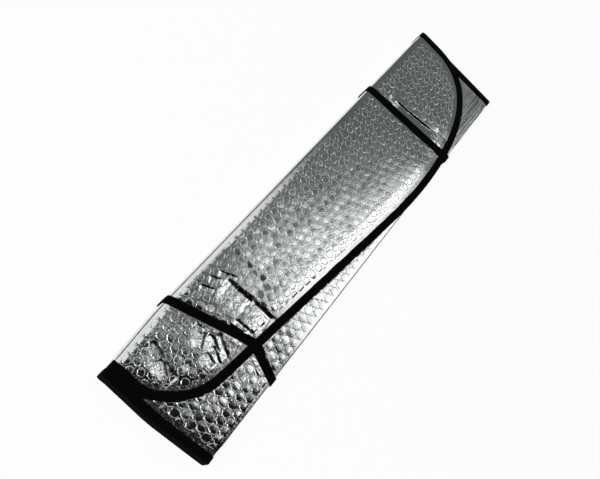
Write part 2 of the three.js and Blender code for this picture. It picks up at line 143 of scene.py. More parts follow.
class SettleSizes(bpy.types.PropertyGroup):
    """How the folded pack sits in its loops."""

    squeeze: share("Squeeze", "How much thinner the pack is under a loop", 0.04)
    squeeze_flat: length("Squeeze flat", "Half width of the flat part under a loop", 0.006)
    squeeze_reach: length("Squeeze reach", "How far the squeeze reaches beside a loop", 0.045)
    fan_out: length("Fan out", "How much wider the pack is at its near end", 0.004)
    corner_pull: length("Corner pull", "How far the near open corner is pulled in", 0.0065)
    fold_pull: length("Fold pull", "How far the near folds are pulled in", 0.004)
    corner_pull_length: length("Corner pull length", "Length of the pack that is pulled in", 0.09)
    far_splay: length("Far splay", "How far the open side stands out at the far end", 0.005)
    far_splay_length: length("Far splay length", "Length of the pack that is splayed", 0.2)
    fold_roll: share("Fold roll", "How much thinner the pack is at its folds", 0.1)
    fold_roll_width: length("Fold roll width", "Width of the rounded part beside the folds", 0.008)
    waviness: length("Waviness", "Height of the broad waves in the top of the pack", 0.0002)


class StageSizes(bpy.types.PropertyGroup):
    """The floor, the room and the lamp."""

    floor: colour("Floor", "Colour of the floor", (0.9, 0.9, 0.9))
    grey: colour("Grey room", "Colour of the dim part of the room", (0.100, 0.114, 0.107))
    pale: colour("Pale room", "Colour of the room behind the camera", (0.30, 0.32, 0.31))
    wall: brightness("Wall", "Radiance of the bright wall", 1.45)
    window: brightness("Window", "Radiance of the folds' side", 0.9)
    fill: brightness("Fill", "Radiance of the fill lamp", 8.0)


def smoothstep(value, low, high):
    """Goes from 0 at low to 1 at high with level ends."""
    t = np.clip((value - low) / (high - low), 0, 1)
    return t * t * (3 - 2 * t)


def cubic(start, first_handle, second_handle, end, steps):
    """Points along a Bezier curve, both ends included."""
    t = np.linspace(0, 1, steps + 1)[:, None]
    points = [np.array(p, float) for p in (start, first_handle, second_handle, end)]
    weights = [(1 - t) ** 3, 3 * (1 - t) ** 2 * t, 3 * (1 - t) * t ** 2, t ** 3]
    return sum(w * p for w, p in zip(weights, points))


def waves(x, y, wavelength, seed):
    """Broad waves from -1 to 1, the same ones for one seed."""
    rng = np.random.default_rng(seed)
    total = 0
    count = 7
    angles = rng.uniform(0, math.pi, count)
    phases = rng.uniform(0, 6.28, count)
    stretches = rng.uniform(0.7, 1.5, count)
    for angle, phase, stretch in zip(angles, phases, stretches):
        k = 2 * math.pi / (wavelength * stretch)
        total = total + np.sin(k * (x * math.cos(angle) + y * math.sin(angle)) + phase)
    return total / count


def unit(vectors):
    """The vectors at length 1."""
    return vectors / np.linalg.norm(vectors, axis=1)[:, None]


def walk(points):
    """How far each point of a line lies along it."""
    return np.concatenate([[0], np.cumsum(np.linalg.norm(np.diff(points, axis=0), axis=1))])


class Pack:
    """Where each point of the flat sheet lies in the folded pack, from the sizes in the panel."""

    # How full the two rounded corners are, as shares of their reach and depth, and the near one's lean
    FAR_HANDLE = 0.62
    NEAR_HANDLE = 0.62
    FAR_SHOULDER = 0.2
    NEAR_SHOULDER = 0.55
    NEAR_LEAN = 0.002

    # How many straight pieces the far corner, the near corner and the edge between them have
    FAR_STEPS = 56
    NEAR_STEPS = 40
    EDGE_STEPS = 60

    # How much less the top rolls at the open side, and the levels between which that begins
    OPEN_ROLL_LOSS = 0.7
    ROLL_LEVELS = (0.3, 0.7)

    # The length of the broad waves, and how far from the folds they are full
    WAVE_LENGTH = 0.075
    CALM_WIDTH = 0.02

    def __init__(self, scene):
        self.sheet = scene.sunshade_sheet
        self.tape = scene.sunshade_tape
        self.loop_sizes = scene.sunshade_loops
        self.settling = scene.sunshade_settle
        sheet, tape = self.sheet, self.tape
        bound_edge = tape.pressed_edge + 2 * (tape.clearance + tape.wall)
        self.layer_pitch = max(sheet.thickness, bound_edge) + sheet.layer_gap
        self.fold_radius = self.layer_pitch / 2
        self.fold_arc = math.pi * self.fold_radius
        self.flat_width = sheet.panel_width - self.fold_arc
        self.thickness = sheet.panel_count * self.layer_pitch - sheet.layer_gap
        self.width = self.flat_width + 2 * self.fold_radius + sheet.thickness
        self.sheet_end = sheet.bound_height / 2 - tape.wall - tape.clearance
        self.row_pitch = sheet.bubble_pitch * math.sqrt(0.75)
        self.last = sheet.panel_count - 1
        self.edge = self.outer_edge()
        self.top_index = int(self.edge[:, 1].argmax())
        self.edge_top = self.edge[self.top_index]
        loops = self.loop_sizes
        end = sheet.bound_height / 2
        self.loops = {
            "elastic_band_far": (loops.far_from_end - end, loops.far_folds, loops.far_open),
            "elastic_band_near": (end - loops.near_from_end, loops.near_folds, loops.near_open),
        }
        self.sewn_y = {
            name: float(self.free_edge(sewn)) - sheet.panel_width / 2 - tape.side / 2
            for name, (sewn, _, _) in self.loops.items()
        }
        far_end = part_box("edge_binding")[0].x
        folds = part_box("foil_sheet")[0].y
        self.shift = np.array([far_end + end + self.settling.far_splay, folds + self.width / 2, 0])

    def outer_edge(self):
        """The edge of an outer panel, as x and the distance out from its fold."""
        sheet, end = self.sheet, self.sheet_end
        far_width = sheet.panel_width - sheet.far_recess
        near_width = sheet.panel_width - sheet.near_recess
        far_x = sheet.far_corner_reach - end
        near_x = end - sheet.near_corner_reach
        slant = (near_width - far_width) / (near_x - far_x)
        far_handle = sheet.far_corner_reach * self.FAR_HANDLE
        near_handle = sheet.near_corner_reach * self.NEAR_HANDLE
        far_corner = cubic(
            (-end, sheet.panel_width - sheet.far_corner_depth),
            (-end, sheet.panel_width - sheet.far_corner_depth * self.FAR_SHOULDER),
            (far_x - far_handle, far_width - far_handle * slant),
            (far_x, far_width),
            self.FAR_STEPS,
        )
        near_corner = cubic(
            (near_x, near_width),
            (near_x + near_handle, near_width + near_handle * slant),
            (end - self.NEAR_LEAN, near_width - sheet.near_corner_depth * self.NEAR_SHOULDER),
            (end, near_width - sheet.near_corner_depth),
            self.NEAR_STEPS,
        )
        straight = np.linspace(far_corner[-1], near_corner[0], self.EDGE_STEPS)[1:-1]
        return np.concatenate([[(-end, 0)], far_corner, straight, near_corner, [(end, 0)]])

    def free_edge(self, x):
        """The free edge's distance out from the fold, at a place along the pack."""
        return np.interp(x, self.edge[1:-1, 0], self.edge[1:-1, 1])

    def span(self, out):
        """The first and last x of an outer panel at a distance out from its fold."""
        far = self.edge[: self.top_index + 1]
        near = self.edge[self.top_index:][::-1]
        return float(np.interp(out, far[:, 1], far[:, 0])), float(np.interp(out, near[:, 1], near[:, 0]))

    def inside_edge(self, x, out):
        """How far points lie inside an outer panel's edge, below zero outside it."""
        x, out = np.broadcast_arrays(np.asarray(x, float), np.asarray(out, float))
        best = np.full(x.shape, np.inf)
        for a, b in zip(self.edge[:-1], self.edge[1:]):
            d = b - a
            t = np.clip(((x - a[0]) * d[0] + (out - a[1]) * d[1]) / (d @ d), 0, 1)
            best = np.minimum(best, np.hypot(x - a[0] - t * d[0], out - a[1] - t * d[1]))
        inside = (out < self.free_edge(x)) & (np.abs(x) < self.sheet_end)
        return np.where(inside, best, -best)

    def panel_height(self, panel):
        """The height of a panel's middle in the neatly folded pack."""
        sheet = self.sheet
        return (sheet.panel_count - panel) * self.layer_pitch - sheet.layer_gap - sheet.thickness / 2

    def fold(self, along, off):
        """Across and up in the pack, from the distance along the sheet and off its middle."""
        width = self.sheet.panel_width
        panel = np.clip(np.floor(along / width), 0, self.last)
        even = panel % 2 == 0
        s = along - panel * width
        before = (panel < self.last) & (s > width - self.fold_arc / 2)
        after = (panel > 0) & (s < self.fold_arc / 2)
        y = np.where(even, -1, 1) * (s - width / 2)
        z = self.panel_height(panel) + np.where(even, 1, -1) * off
        upper = np.where(before, panel, panel - 1)
        side = np.where(upper % 2 == 0, -1, 1)
        turn = (along - (upper + 1) * width) / self.fold_radius + math.pi / 2
        radius = self.fold_radius + np.where(upper % 2 == 0, 1, -1) * off
        folded = before | after
        middle = (self.panel_height(upper) + self.panel_height(upper + 1)) / 2
        return (
            np.where(folded, side * (self.flat_width / 2 + radius * np.sin(turn)), y),
            np.where(folded, middle + radius * np.cos(turn), z),
        )

    def loop_x(self, name, y, level):
        """The middle line of a loop: over the top at level 1, underneath at level 0."""
        sewn, lean_folds, lean_open = self.loops[name]
        folds, open_side = sewn + lean_folds, sewn + lean_open
        across = np.clip(y / self.width + 0.5, 0, 1)
        sewn_across = self.sewn_y[name] / self.width + 0.5
        over = np.where(
            across < sewn_across,
            folds + (sewn - folds) * across / sewn_across,
            sewn + (open_side - sewn) * (across - sewn_across) / (1 - sewn_across),
        )
        under = folds + (open_side - folds) * across
        return under + (over - under) * level

    def pressed(self, x, y, level, low, high):
        """How much the loops press on a point of the pack, from 0 to 1."""
        return np.maximum.reduce([
            1 - smoothstep(np.abs(x - self.loop_x(name, y, level)), low, high) for name in self.loops
        ])

    def settle(self, x, y, z):
        """Puts points of the neatly folded pack where they lie in the row frame, in metres."""
        x, y, z = np.broadcast_arrays(x, y, z)
        s = self.settling
        middle = self.thickness / 2
        level = np.clip(z / self.thickness, 0, 1)
        squeeze = s.squeeze * self.pressed(x, y, level, s.squeeze_flat, s.squeeze_reach)
        from_fold = np.clip(self.width / 2 - np.abs(y), 0, None)
        roll = s.fold_roll * (1 - from_fold / s.fold_roll_width).clip(0, 1) ** 2
        roll = roll * (1 - self.OPEN_ROLL_LOSS * (y > 0) * smoothstep(level, *self.ROLL_LEVELS))
        across = y / self.width + 0.5
        end = self.sheet.bound_height / 2
        near = smoothstep(x, end - s.corner_pull_length, end)
        far = smoothstep(-x, end - s.far_splay_length, end)
        calm = smoothstep(from_fold, 0, self.CALM_WIDTH)
        wave = s.waviness * waves(x, y, self.WAVE_LENGTH, 4) * calm * level
        corner_pull = s.corner_pull * near * np.clip(2 * across - 1, 0, 1)
        splay = s.far_splay * far * np.clip(across, 0, 1)
        fan = s.fan_out * across * (x / (2 * end))
        fold_pull = s.fold_pull * near * np.clip(1 - 2 * across, 0, 1)
        return np.stack([
            x - corner_pull - splay,
            y + fan + fold_pull,
            middle + (z - middle) * (1 - squeeze - roll) + wave,
        ], -1) + self.shift

    def place(self, x, along, off):
        """Where points of the flat sheet lie in the row frame."""
        y, z = self.fold(np.asarray(along, float), np.asarray(off, float))
        return self.settle(x, y, z)

    def half_thickness(self, inside):
        """Half the sheet's thickness: pressed flat in the seam, full beyond the pucker."""
        start = self.tape.side + self.tape.pressed_margin
        full = np.clip((inside - start) / self.tape.pucker, 0, 1)
        pressed = self.tape.pressed_edge
        return (pressed + (self.sheet.thickness - pressed) * full) / 2


class Term:
    """A node's output, which takes part in Python sums."""

    def __init__(self, nodes, socket):
        self.nodes = nodes
        self.socket = socket

    def __add__(self, other):
        return self.nodes.math("ADD", self, other)

    def __radd__(self, other):
        return self.nodes.math("ADD", other, self)

    def __sub__(self, other):
        return self.nodes.math("SUBTRACT", self, other)

    def __rsub__(self, other):
        return self.nodes.math("SUBTRACT", other, self)

    def __mul__(self, other):
        return self.nodes.math("MULTIPLY", self, other)

    def __rmul__(self, other):
        return self.nodes.math("MULTIPLY", other, self)

    def __truediv__(self, other):
        return self.nodes.math("DIVIDE", self, other)

    def __mod__(self, other):
        return self.nodes.math("FLOORED_MODULO", self, other)

    def __abs__(self):
        return self.nodes.math("ABSOLUTE", self)


class Nodes:
    """Adds nodes to a tree, one call each."""

    def __init__(self, tree):
        self.tree = tree

    def add(self, kind, settings=None, output=0, **sockets):
        """A node with its settings, then the values or links of its sockets, by name or in order."""
        node = self.tree.nodes.new(kind)
        for name, value in (settings or {}).items():
            setattr(node, name, value)
        for name, value in sockets.items():
            self.join(self.find(node, name), value)
        return node if output is None else Term(self, node.outputs[output])

    def find(self, node, name):
        """An input by its number, as in i0, or by its name with spaces as underscores."""
        if name[0] == "i" and name[1:].isdigit():
            return node.inputs[int(name[1:])]
        return next(s for s in node.inputs if s.enabled and s.name.replace(" ", "_") == name)

    def join(self, socket, value):
        """Links a term to a socket, or sets the socket to a value."""
        if isinstance(value, Term):
            self.tree.links.new(value.socket, socket)
        elif value is not None:
            socket.default_value = value

    def math(self, operation, a, b=None):
        return self.add("ShaderNodeMath", {"operation": operation}, i0=a, i1=b)

    def split(self, vector):
        """The three numbers of a vector."""
        node = self.add("ShaderNodeSeparateXYZ", output=None, Vector=vector)
        return [Term(self, socket) for socket in node.outputs]

    def smooth(self, value, low, high, to_low=0.0, to_high=1.0):
        """Goes smoothly from one number to another as value goes from low to high."""
        return self.add(
            "ShaderNodeMapRange", {"interpolation_type": "SMOOTHSTEP"}, Value=value,
            From_Min=low, From_Max=high, To_Min=to_low, To_Max=to_high,
        )

    def hypot(self, a, b):
        return self.math("SQRT", a * a + b * b)

    def mix(self, factor, a, b):
        """A mix of two colours."""
        node = self.add("ShaderNodeMix", {"data_type": "RGBA"}, output=None, Factor=factor, A=a, B=b)
        return Term(self, next(s for s in node.outputs if s.enabled))


def bubble_place(nodes, x, along, pitch):
    """Where a point of the flat sheet lies from the middle of its bubble, and the bubble's row and column."""
    row = nodes.math("ROUND", along / (pitch * math.sqrt(0.75)))
    across = along - row * (pitch * math.sqrt(0.75))
    place = x / pitch - (row % 2) * 0.5
    column = nodes.math("ROUND", place)
    return (place - column) * pitch, across, row, column


def blank_material(name):
    """A material with an empty tree, and its node maker."""
    material = bpy.data.materials.new(name)
    material.use_nodes = True
    material.node_tree.nodes.clear()
    return material, Nodes(material.node_tree)


def new_material(name):
    """A material with its node maker and its one shader."""
    material, nodes = blank_material(name)
    shader = nodes.add("ShaderNodeBsdfPrincipled", output=None)
    output = nodes.add("ShaderNodeOutputMaterial", output=None)
    material.node_tree.links.new(shader.outputs[0], output.inputs["Surface"])
    return material, nodes, shader


def plain(colour_value):
    """A colour as a socket takes it."""
    return (*colour_value, 1)


# The creases in the top panel, in metres on it: start, end, depth, half width and way back up
CREASES = [
    ((-0.1800, -0.0330), (-0.1888, 0.0310), 0.0018, 0.0025, 0.022),
    ((0.1482, -0.0375), (0.1448, 0.0020), 0.0014, 0.0033, 0.030),
    ((0.1449, -0.0085), (0.1433, 0.0305), 0.0013, 0.0031, 0.028),
    ((0.2440, -0.0495), (0.2517, -0.0265), 0.0011, 0.0034, 0.022),
    ((0.2512, -0.0310), (0.2622, -0.0145), 0.0009, 0.0027, 0.018),
    ((0.2514, -0.0310), (0.2556, -0.0060), 0.0010, 0.0030, 0.020),
    ((0.1805, -0.0060), (0.1780, 0.0130), 0.0008, 0.0021, 0.014),
    ((0.1724, -0.0045), (0.1698, 0.0210), 0.0008, 0.0021, 0.014),
    ((0.1486, -0.0480), (0.1391, -0.0280), 0.0005, 0.0014, 0.010),
    ((0.1599, -0.0510), (0.1523, -0.0384), 0.0005, 0.0014, 0.010),
    ((0.1727, -0.0524), (0.1659, -0.0373), 0.0005, 0.0014, 0.010),
    ((0.2042, -0.0170), (0.2222, -0.0078), 0.0007, 0.0021, 0.014),
    ((0.2002, -0.0135), (0.2091, 0.0064), 0.0007, 0.0021, 0.014),
    ((0.1940, -0.0070), (0.2083, 0.0203), 0.0008, 0.0023, 0.014),
    ((0.2076, -0.0037), (0.2176, 0.0169), 0.0008, 0.0022, 0.014),
    ((0.2172, -0.0048), (0.2211, 0.0108), 0.0007, 0.0021, 0.012),
    ((0.2032, -0.0310), (0.2026, -0.0183), 0.0005, 0.0015, 0.010),
    ((0.2362, -0.0100), (0.2414, -0.0021), 0.0005, 0.0015, 0.010),
]

# The slopes at the ends of the far crease, in the same order
SLOPES = [
    ((-0.1735, -0.0372), (-0.1825, -0.0382), 0.0008, 0.0028, 0.025),
    ((-0.1900, 0.0325), (-0.1995, 0.0340), 0.0007, 0.0026, 0.023),
]

# Where the bubbles of the top panel are pressed flat: from and to along the pack, then across it
FLAT_PATCHES = [
    (-0.194, -0.174, -0.040, 0.036),
    (0.120, 0.184, -0.070, 0.000),
    (0.140, 0.152, 0.000, 0.032),
    (0.190, 0.221, -0.012, 0.040),
]


def beside_line(nodes, place, start, end):
    """How far a place on the panel lies off a line, and how near it is to the line's ends, from 0 to 1."""
    size = math.dist(start, end)
    way = ((end[0] - start[0]) / size, (end[1] - start[1]) / size, 0)
    side = (way[1], -way[0], 0)
    first = start[0] * way[0] + start[1] * way[1]
    run = nodes.add("ShaderNodeVectorMath", {"operation": "DOT_PRODUCT"}, output=1, i0=place, i1=way)
    off = nodes.add("ShaderNodeVectorMath", {"operation": "DOT_PRODUCT"}, output=1, i0=place, i1=side)
    begun = nodes.smooth(run, first, first + 0.2 * size)
    going = nodes.smooth(run, first + 0.8 * size, first + size, 1.0, 0.0)
    return off - (start[0] * side[0] + start[1] * side[1]), begun * going


def crease(nodes, surface, start, end, depth, width, tail):
    """Lowers the surface, a place on the panel with its height, in a sharp step beside a line."""
    off, fade = beside_line(nodes, surface, start, end)
    step = nodes.smooth(off, -width, width) * nodes.smooth(off, 0.0, tail, 1.0, 0.0)
    drop = nodes.add("ShaderNodeVectorMath", {"operation": "SCALE"}, i0=(0, 0, -depth), Scale=fade * step)
    return nodes.add("ShaderNodeVectorMath", {"operation": "ADD"}, i0=surface, i1=drop)


def painted_crease_shade(nodes, place, dark, start, end, width):
    """The shade painted into the folded film's colour along a crease's line, from 0 to 1, or the larger shade
    painted along one before it.
    """
    off, fade = beside_line(nodes, place, start, end)
    return nodes.math("MAXIMUM", dark, fade * nodes.smooth(abs(off), 0.25 * width, 0.75 * width, 1.0, 0.0))


# The film's relief in metres: its crinkles, its finest ones, the crumples from far to near, the
# streaks of the far corner of the second panel, and how far the crinkles shift a crease
CRINKLE_HEIGHT = 0.0001
FINE_HEIGHT = 0.000025
CRUMPLE_HEIGHTS = (0.00002, 0.00016)
STREAK_HEIGHT = 0.0008
CREASE_SWAY = 0.004

# How much a bubble's flat top leans, and how much wider the bubbles' feet are on the back
BUBBLE_LEAN = 0.05
BACK_RIM = 0.0009

# How far painted shade darkens the film's colour along the creases of the top panel, and how bright it is
# where it is worn
PAINTED_CREASE_SHADE_STRENGTH = 0.93
WORN_BRIGHTNESS = 0.93


def foil_material(scene):
    """Metallised film, finely crinkled, with a ring round each bubble and creases in the top panel, and shade
    painted into its colour along those creases.
    """
    sheet = scene.sunshade_sheet
    material, nodes, shader = new_material("metallised bubble foil")
    flat = nodes.add("ShaderNodeUVMap", {"uv_map": "flat"})
    x, along, _ = nodes.split(flat)
    relief = nodes.add("ShaderNodeAttribute", {"attribute_name": "relief"}, output=2)
    back = nodes.math("GREATER_THAN", along, sheet.panel_width)
    aside, across, row, column = bubble_place(nodes, x, along, sheet.bubble_pitch)
    cell = nodes.add("ShaderNodeCombineXYZ", X=column, Y=row)
    chance = nodes.add("ShaderNodeTexWhiteNoise", {"noise_dimensions": "2D"}, output=1, Vector=cell)
    lean_x, lean_y, full = (number - 0.5 for number in nodes.split(chance))
    rim = back * BACK_RIM + sheet.bubble_radius
    place = nodes.add("ShaderNodeTexCoord", output=3)
    crinkle = nodes.add("ShaderNodeTexNoise", Vector=place, Scale=130.0, Detail=3.0, Roughness=0.55)
    fine = nodes.add("ShaderNodeTexNoise", Vector=place, Scale=520.0, Detail=2.0, Roughness=0.5)
    worn = nodes.add("ShaderNodeTexNoise", Vector=place, Scale=28.0, Detail=2.0, Roughness=0.6)
    crumple = nodes.add(
        "ShaderNodeTexNoise", Vector=place, Scale=260.0, Detail=3.0, Roughness=0.6, Distortion=1.5
    )
    drawn = nodes.add("ShaderNodeCombineXYZ", X=x * 12, Y=along * 420)
    streak = nodes.add("ShaderNodeTexNoise", Vector=drawn, Scale=1.0, Detail=2.0, Roughness=0.6)
    uneven = nodes.hypot(aside, across) + (fine - 0.5) * 0.002 + (crinkle - 0.5) * 0.004
    shoulder = nodes.smooth(uneven / rim, 0.8, 1.0, 1.0, 0.0)
    outer_ring = sheet.outer_rise * (1 - sheet.dome_share)
    back_ring = sheet.back_rise * (1 - sheet.back_dome_share)
    rise = back * (back_ring - outer_ring) + outer_ring
    tilt = (aside * lean_x + across * lean_y) * (back * BUBBLE_LEAN + BUBBLE_LEAN)
    bubble = relief * shoulder * (rise * (1 + full * 0.5) + tilt)
    sway = (crinkle - 0.5) * CREASE_SWAY
    height = bubble + crinkle * CRINKLE_HEIGHT + fine * FINE_HEIGHT
    height = height + crumple * nodes.smooth(x, 0.1, 0.25, *CRUMPLE_HEIGHTS)
    place_on_panel = nodes.add("ShaderNodeCombineXYZ", X=x + sway, Y=sheet.panel_width / 2 - along)
    # dark gathers the shade painted into the film's colour along the creases
    surface, dark = place_on_panel, 0.0
    for start, end, depth, width, tail in CREASES:
        surface = crease(nodes, surface, start, end, depth, width, tail)
        dark = painted_crease_shade(nodes, place_on_panel, dark, start, end, width)
    for line in SLOPES:
        surface = crease(nodes, surface, *line)
    creased = nodes.split(surface)[2]
    streaks = streak * back * nodes.smooth(x, -0.21, -0.16, STREAK_HEIGHT, 0.0)
    height = height + creased * (1 - back) + streaks
    bump = nodes.add("ShaderNodeBump", Strength=1.0, Distance=1.0, Height=height)
    tint = nodes.mix(worn, plain([c * WORN_BRIGHTNESS for c in sheet.foil]), plain(sheet.foil))
    # Painted shade: along the creases the top panel's film colour is mixed towards black
    tint = nodes.mix(dark * (1 - back) * PAINTED_CREASE_SHADE_STRENGTH, tint, plain((0.0, 0.0, 0.0)))
    shader.inputs["Metallic"].default_value = 1.0
    nodes.join(shader.inputs["Base Color"], tint)
    nodes.join(shader.inputs["Roughness"], 0.07 + worn * 0.1)
    nodes.join(shader.inputs["Normal"], bump)
    return material


def cloth_material(name, colour_value, ribs_along, ribs_across, depth):
    """Black woven cloth on the piece's own UV, in metres along and across it."""
    material, nodes, shader = new_material(name)
    flat = nodes.add("ShaderNodeUVMap", {"uv_map": "flat"})
    u, v, _ = nodes.split(flat)
    warp = nodes.math("SINE", u * (2 * math.pi / ribs_along))
    weft = nodes.math("SINE", v * (2 * math.pi / ribs_across))
    lint = nodes.add("ShaderNodeTexNoise", Vector=flat, Scale=900.0, Detail=3.0, Roughness=0.6)
    worn = nodes.add("ShaderNodeTexNoise", Vector=flat, Scale=60.0, Detail=2.0, Roughness=0.6)
    height = warp * weft * 0.5 + lint * 0.6
    bump = nodes.add("ShaderNodeBump", Strength=0.6, Distance=depth, Height=height)
    light = [min(1, c * 2.1) for c in colour_value]
    tint = nodes.mix(nodes.smooth(lint, 0.45, 0.8) * 0.6 + worn * 0.25, plain(colour_value), plain(light))
    nodes.join(shader.inputs["Base Color"], tint)
    nodes.join(shader.inputs["Roughness"], 0.82 + worn * 0.12)
    nodes.join(shader.inputs["Normal"], bump)
    shader.inputs["Specular IOR Level"].default_value = 0.05
    shader.inputs["Sheen Weight"].default_value = 0.005
    shader.inputs["Sheen Roughness"].default_value = 0.5
    return material


def new_mesh(name, points, faces, uv=None):
    """A mesh from points and faces, smooth, with its flat map as UV in metres."""
    mesh = bpy.data.meshes.new(name)
    mesh.from_pydata(np.asarray(points).tolist(), [], faces)
    mesh.shade_smooth()
    if uv is not None:
        layer = mesh.uv_layers.new(name="flat")
        corners = np.zeros(len(mesh.loops), np.int32)
        mesh.loops.foreach_get("vertex_index", corners)
        layer.data.foreach_set("uv", np.asarray(uv, np.float32)[corners].ravel())
    return mesh


def set_attribute(mesh, name, values):
    """Keeps a number or a vector at each of a mesh's points."""
    kind, field = ("FLOAT_VECTOR", "vector") if values.ndim == 2 else ("FLOAT", "value")
    attribute = mesh.attributes.new(name, kind, "POINT")
    attribute.data.foreach_set(field, values.astype(np.float32).ravel())


def show(name, mesh, material):
    """Puts a mesh in the scene as a piece at the origin."""
    piece = bpy.data.objects.new(name, mesh)
    bpy.context.scene.collection.objects.link(piece)
    if material is not None:
        mesh.materials.clear()
        mesh.materials.append(material)
    return piece


def bake_nodes(piece, tree, values):
    """Runs a node tree on a piece and keeps its result as the piece's plain mesh."""
    modifier = piece.modifiers.new(tree.name, "NODES")
    modifier.node_group = tree
    sockets = {s.name: s.identifier for s in tree.interface.items_tree if s.in_out == "INPUT"}
    for name, value in values.items():
        modifier[sockets[name]] = value
    evaluated = piece.evaluated_get(bpy.context.evaluated_depsgraph_get())
    mesh = bpy.data.meshes.new_from_object(evaluated)
    if not mesh.polygons:
        raise RuntimeError(f"{tree.name} made no faces on {piece.name}")
    piece.modifiers.remove(modifier)
    piece.data = mesh


def geometry_tree(name, inputs):
    """An empty geometry tree with named inputs: its node maker, its input values and its output node."""
    tree = bpy.data.node_groups.new(name, "GeometryNodeTree")
    tree.interface.new_socket("Geometry", in_out="INPUT", socket_type="NodeSocketGeometry")
    tree.interface.new_socket("Geometry", in_out="OUTPUT", socket_type="NodeSocketGeometry")
    for label, kind in inputs.items():
        tree.interface.new_socket(label, in_out="INPUT", socket_type=f"NodeSocket{kind}")
    nodes = Nodes(tree)
    entry = nodes.add("NodeGroupInput", output=None)
    given = {s.name: Term(nodes, s) for s in entry.outputs if s.name}
    return nodes, given, nodes.add("NodeGroupOutput", output=None)


# How full the flattest bubble is, and how many numbers each row of bubbles has to itself
LEAST_FULLNESS = 0.55
ROW_NUMBERS = 997


def bubble_tree():
    """Raises the bubbles of a foil sheet along its outward direction, by their place on the flat sheet."""
    nodes, given, output = geometry_tree(
        "Raise bubbles", {"Pitch": "Float", "Radius": "Float", "Seed": "Int", "Foil": "Material"}
    )
    flat = nodes.add("GeometryNodeInputNamedAttribute", {"data_type": "FLOAT_VECTOR"}, Name="flat_place")
    rise = nodes.add("GeometryNodeInputNamedAttribute", {"data_type": "FLOAT"}, Name="rise")
    outward = nodes.add("GeometryNodeInputNamedAttribute", {"data_type": "FLOAT_VECTOR"}, Name="outward")
    x, along, _ = nodes.split(flat)
    aside, across, row, column = bubble_place(nodes, x, along, given["Pitch"])
    away = nodes.hypot(aside, across) / given["Radius"]
    crown = nodes.math("MAXIMUM", 1 - away * away, 0)
    full = nodes.add(
        "FunctionNodeRandomValue", {"data_type": "FLOAT"}, output=1,
        i2=LEAST_FULLNESS, i3=1.0, ID=row * ROW_NUMBERS + column, Seed=given["Seed"],
    )
    height = rise * full * crown
    lift = nodes.add("ShaderNodeVectorMath", {"operation": "SCALE"}, Vector=outward, Scale=height)
    moved = nodes.add("GeometryNodeSetPosition", Geometry=given["Geometry"], Offset=lift)
    real = nodes.add("GeometryNodeRealizeInstances", Geometry=moved)
    done = nodes.add("GeometryNodeSetMaterial", Geometry=real, Material=given["Foil"])
    nodes.join(output.inputs[0], done)
    return nodes.tree


# How much of its pitch a stitch fills, and how many threads deep its ends would dip at a full pitch
STITCH_FILL = 0.72
STITCH_DIP = 6


def stitch_tree():
    """Lays stitches along each seam line of the piece's mesh."""
    nodes, given, output = geometry_tree(
        "Sew seam", {"Pitch": "Float", "Thread": "Float", "Cotton": "Material"}
    )
    line = nodes.add("GeometryNodeMeshToCurve", Mesh=given["Geometry"])
    spaced = nodes.add("GeometryNodeResampleCurve", {"mode": "LENGTH"}, Curve=line, Length=given["Pitch"])
    tangent = nodes.add("GeometryNodeInputTangent")
    outward = nodes.add("GeometryNodeInputNamedAttribute", {"data_type": "FLOAT_VECTOR"}, Name="outward")
    lying = nodes.add("FunctionNodeAlignRotationToVector", {"axis": "Z"}, Vector=tangent)
    turned = nodes.add(
        "FunctionNodeAlignRotationToVector", {"axis": "X", "pivot_axis": "Z"}, Rotation=lying, Vector=outward
    )
    stitch = nodes.add(
        "GeometryNodeMeshCylinder", Vertices=6, Side_Segments=3,
        Radius=given["Thread"] * 0.5, Depth=given["Pitch"] * STITCH_FILL,
    )
    place = nodes.add("GeometryNodeInputPosition")
    dip = abs(nodes.split(place)[2]) / given["Pitch"]
    sunk = nodes.add("ShaderNodeCombineXYZ", X=dip * dip * given["Thread"] * -STITCH_DIP)
    bowed = nodes.add("GeometryNodeSetPosition", Geometry=stitch, Offset=sunk)
    sewn = nodes.add("GeometryNodeInstanceOnPoints", Points=spaced, Instance=bowed, Rotation=turned)
    real = nodes.add("GeometryNodeRealizeInstances", Geometry=sewn)
    done = nodes.add("GeometryNodeSetMaterial", Geometry=real, Material=given["Cotton"])
    nodes.join(output.inputs[0], done)
    return nodes.tree


class Skin:
    """One closed skin of vertices in rows, each row joined to the next."""

    def __init__(self):
        self.points = []
        self.flat = []
        self.outward = []
        self.rise = []
        self.relief = []
        self.faces = []
        self.count = 0

    def row(self, points, flat, outward, rise, relief):
        """Adds a row of vertices and gives their numbers."""
        self.points.append(points)
        self.flat.append(flat)
        self.outward.append(outward)
        self.rise.append(rise)
        self.relief.append(relief)
        self.count += len(points)
        return list(range(self.count - len(points), self.count))

    def zip(self, a, b, key_a, key_b):
        """Joins two rows whose keys grow along them; the side it faces follows their order."""
        i = j = 0
        while i < len(a) - 1 or j < len(b) - 1:
            step_a = j == len(b) - 1 or (i < len(a) - 1 and key_a[i + 1] < key_b[j + 1])
            after = a[i + 1] if step_a else b[j + 1]
            if len({a[i], b[j], after}) == 3:
                self.faces.append((a[i], b[j], after))
            if step_a:
                i += 1
            else:
                j += 1


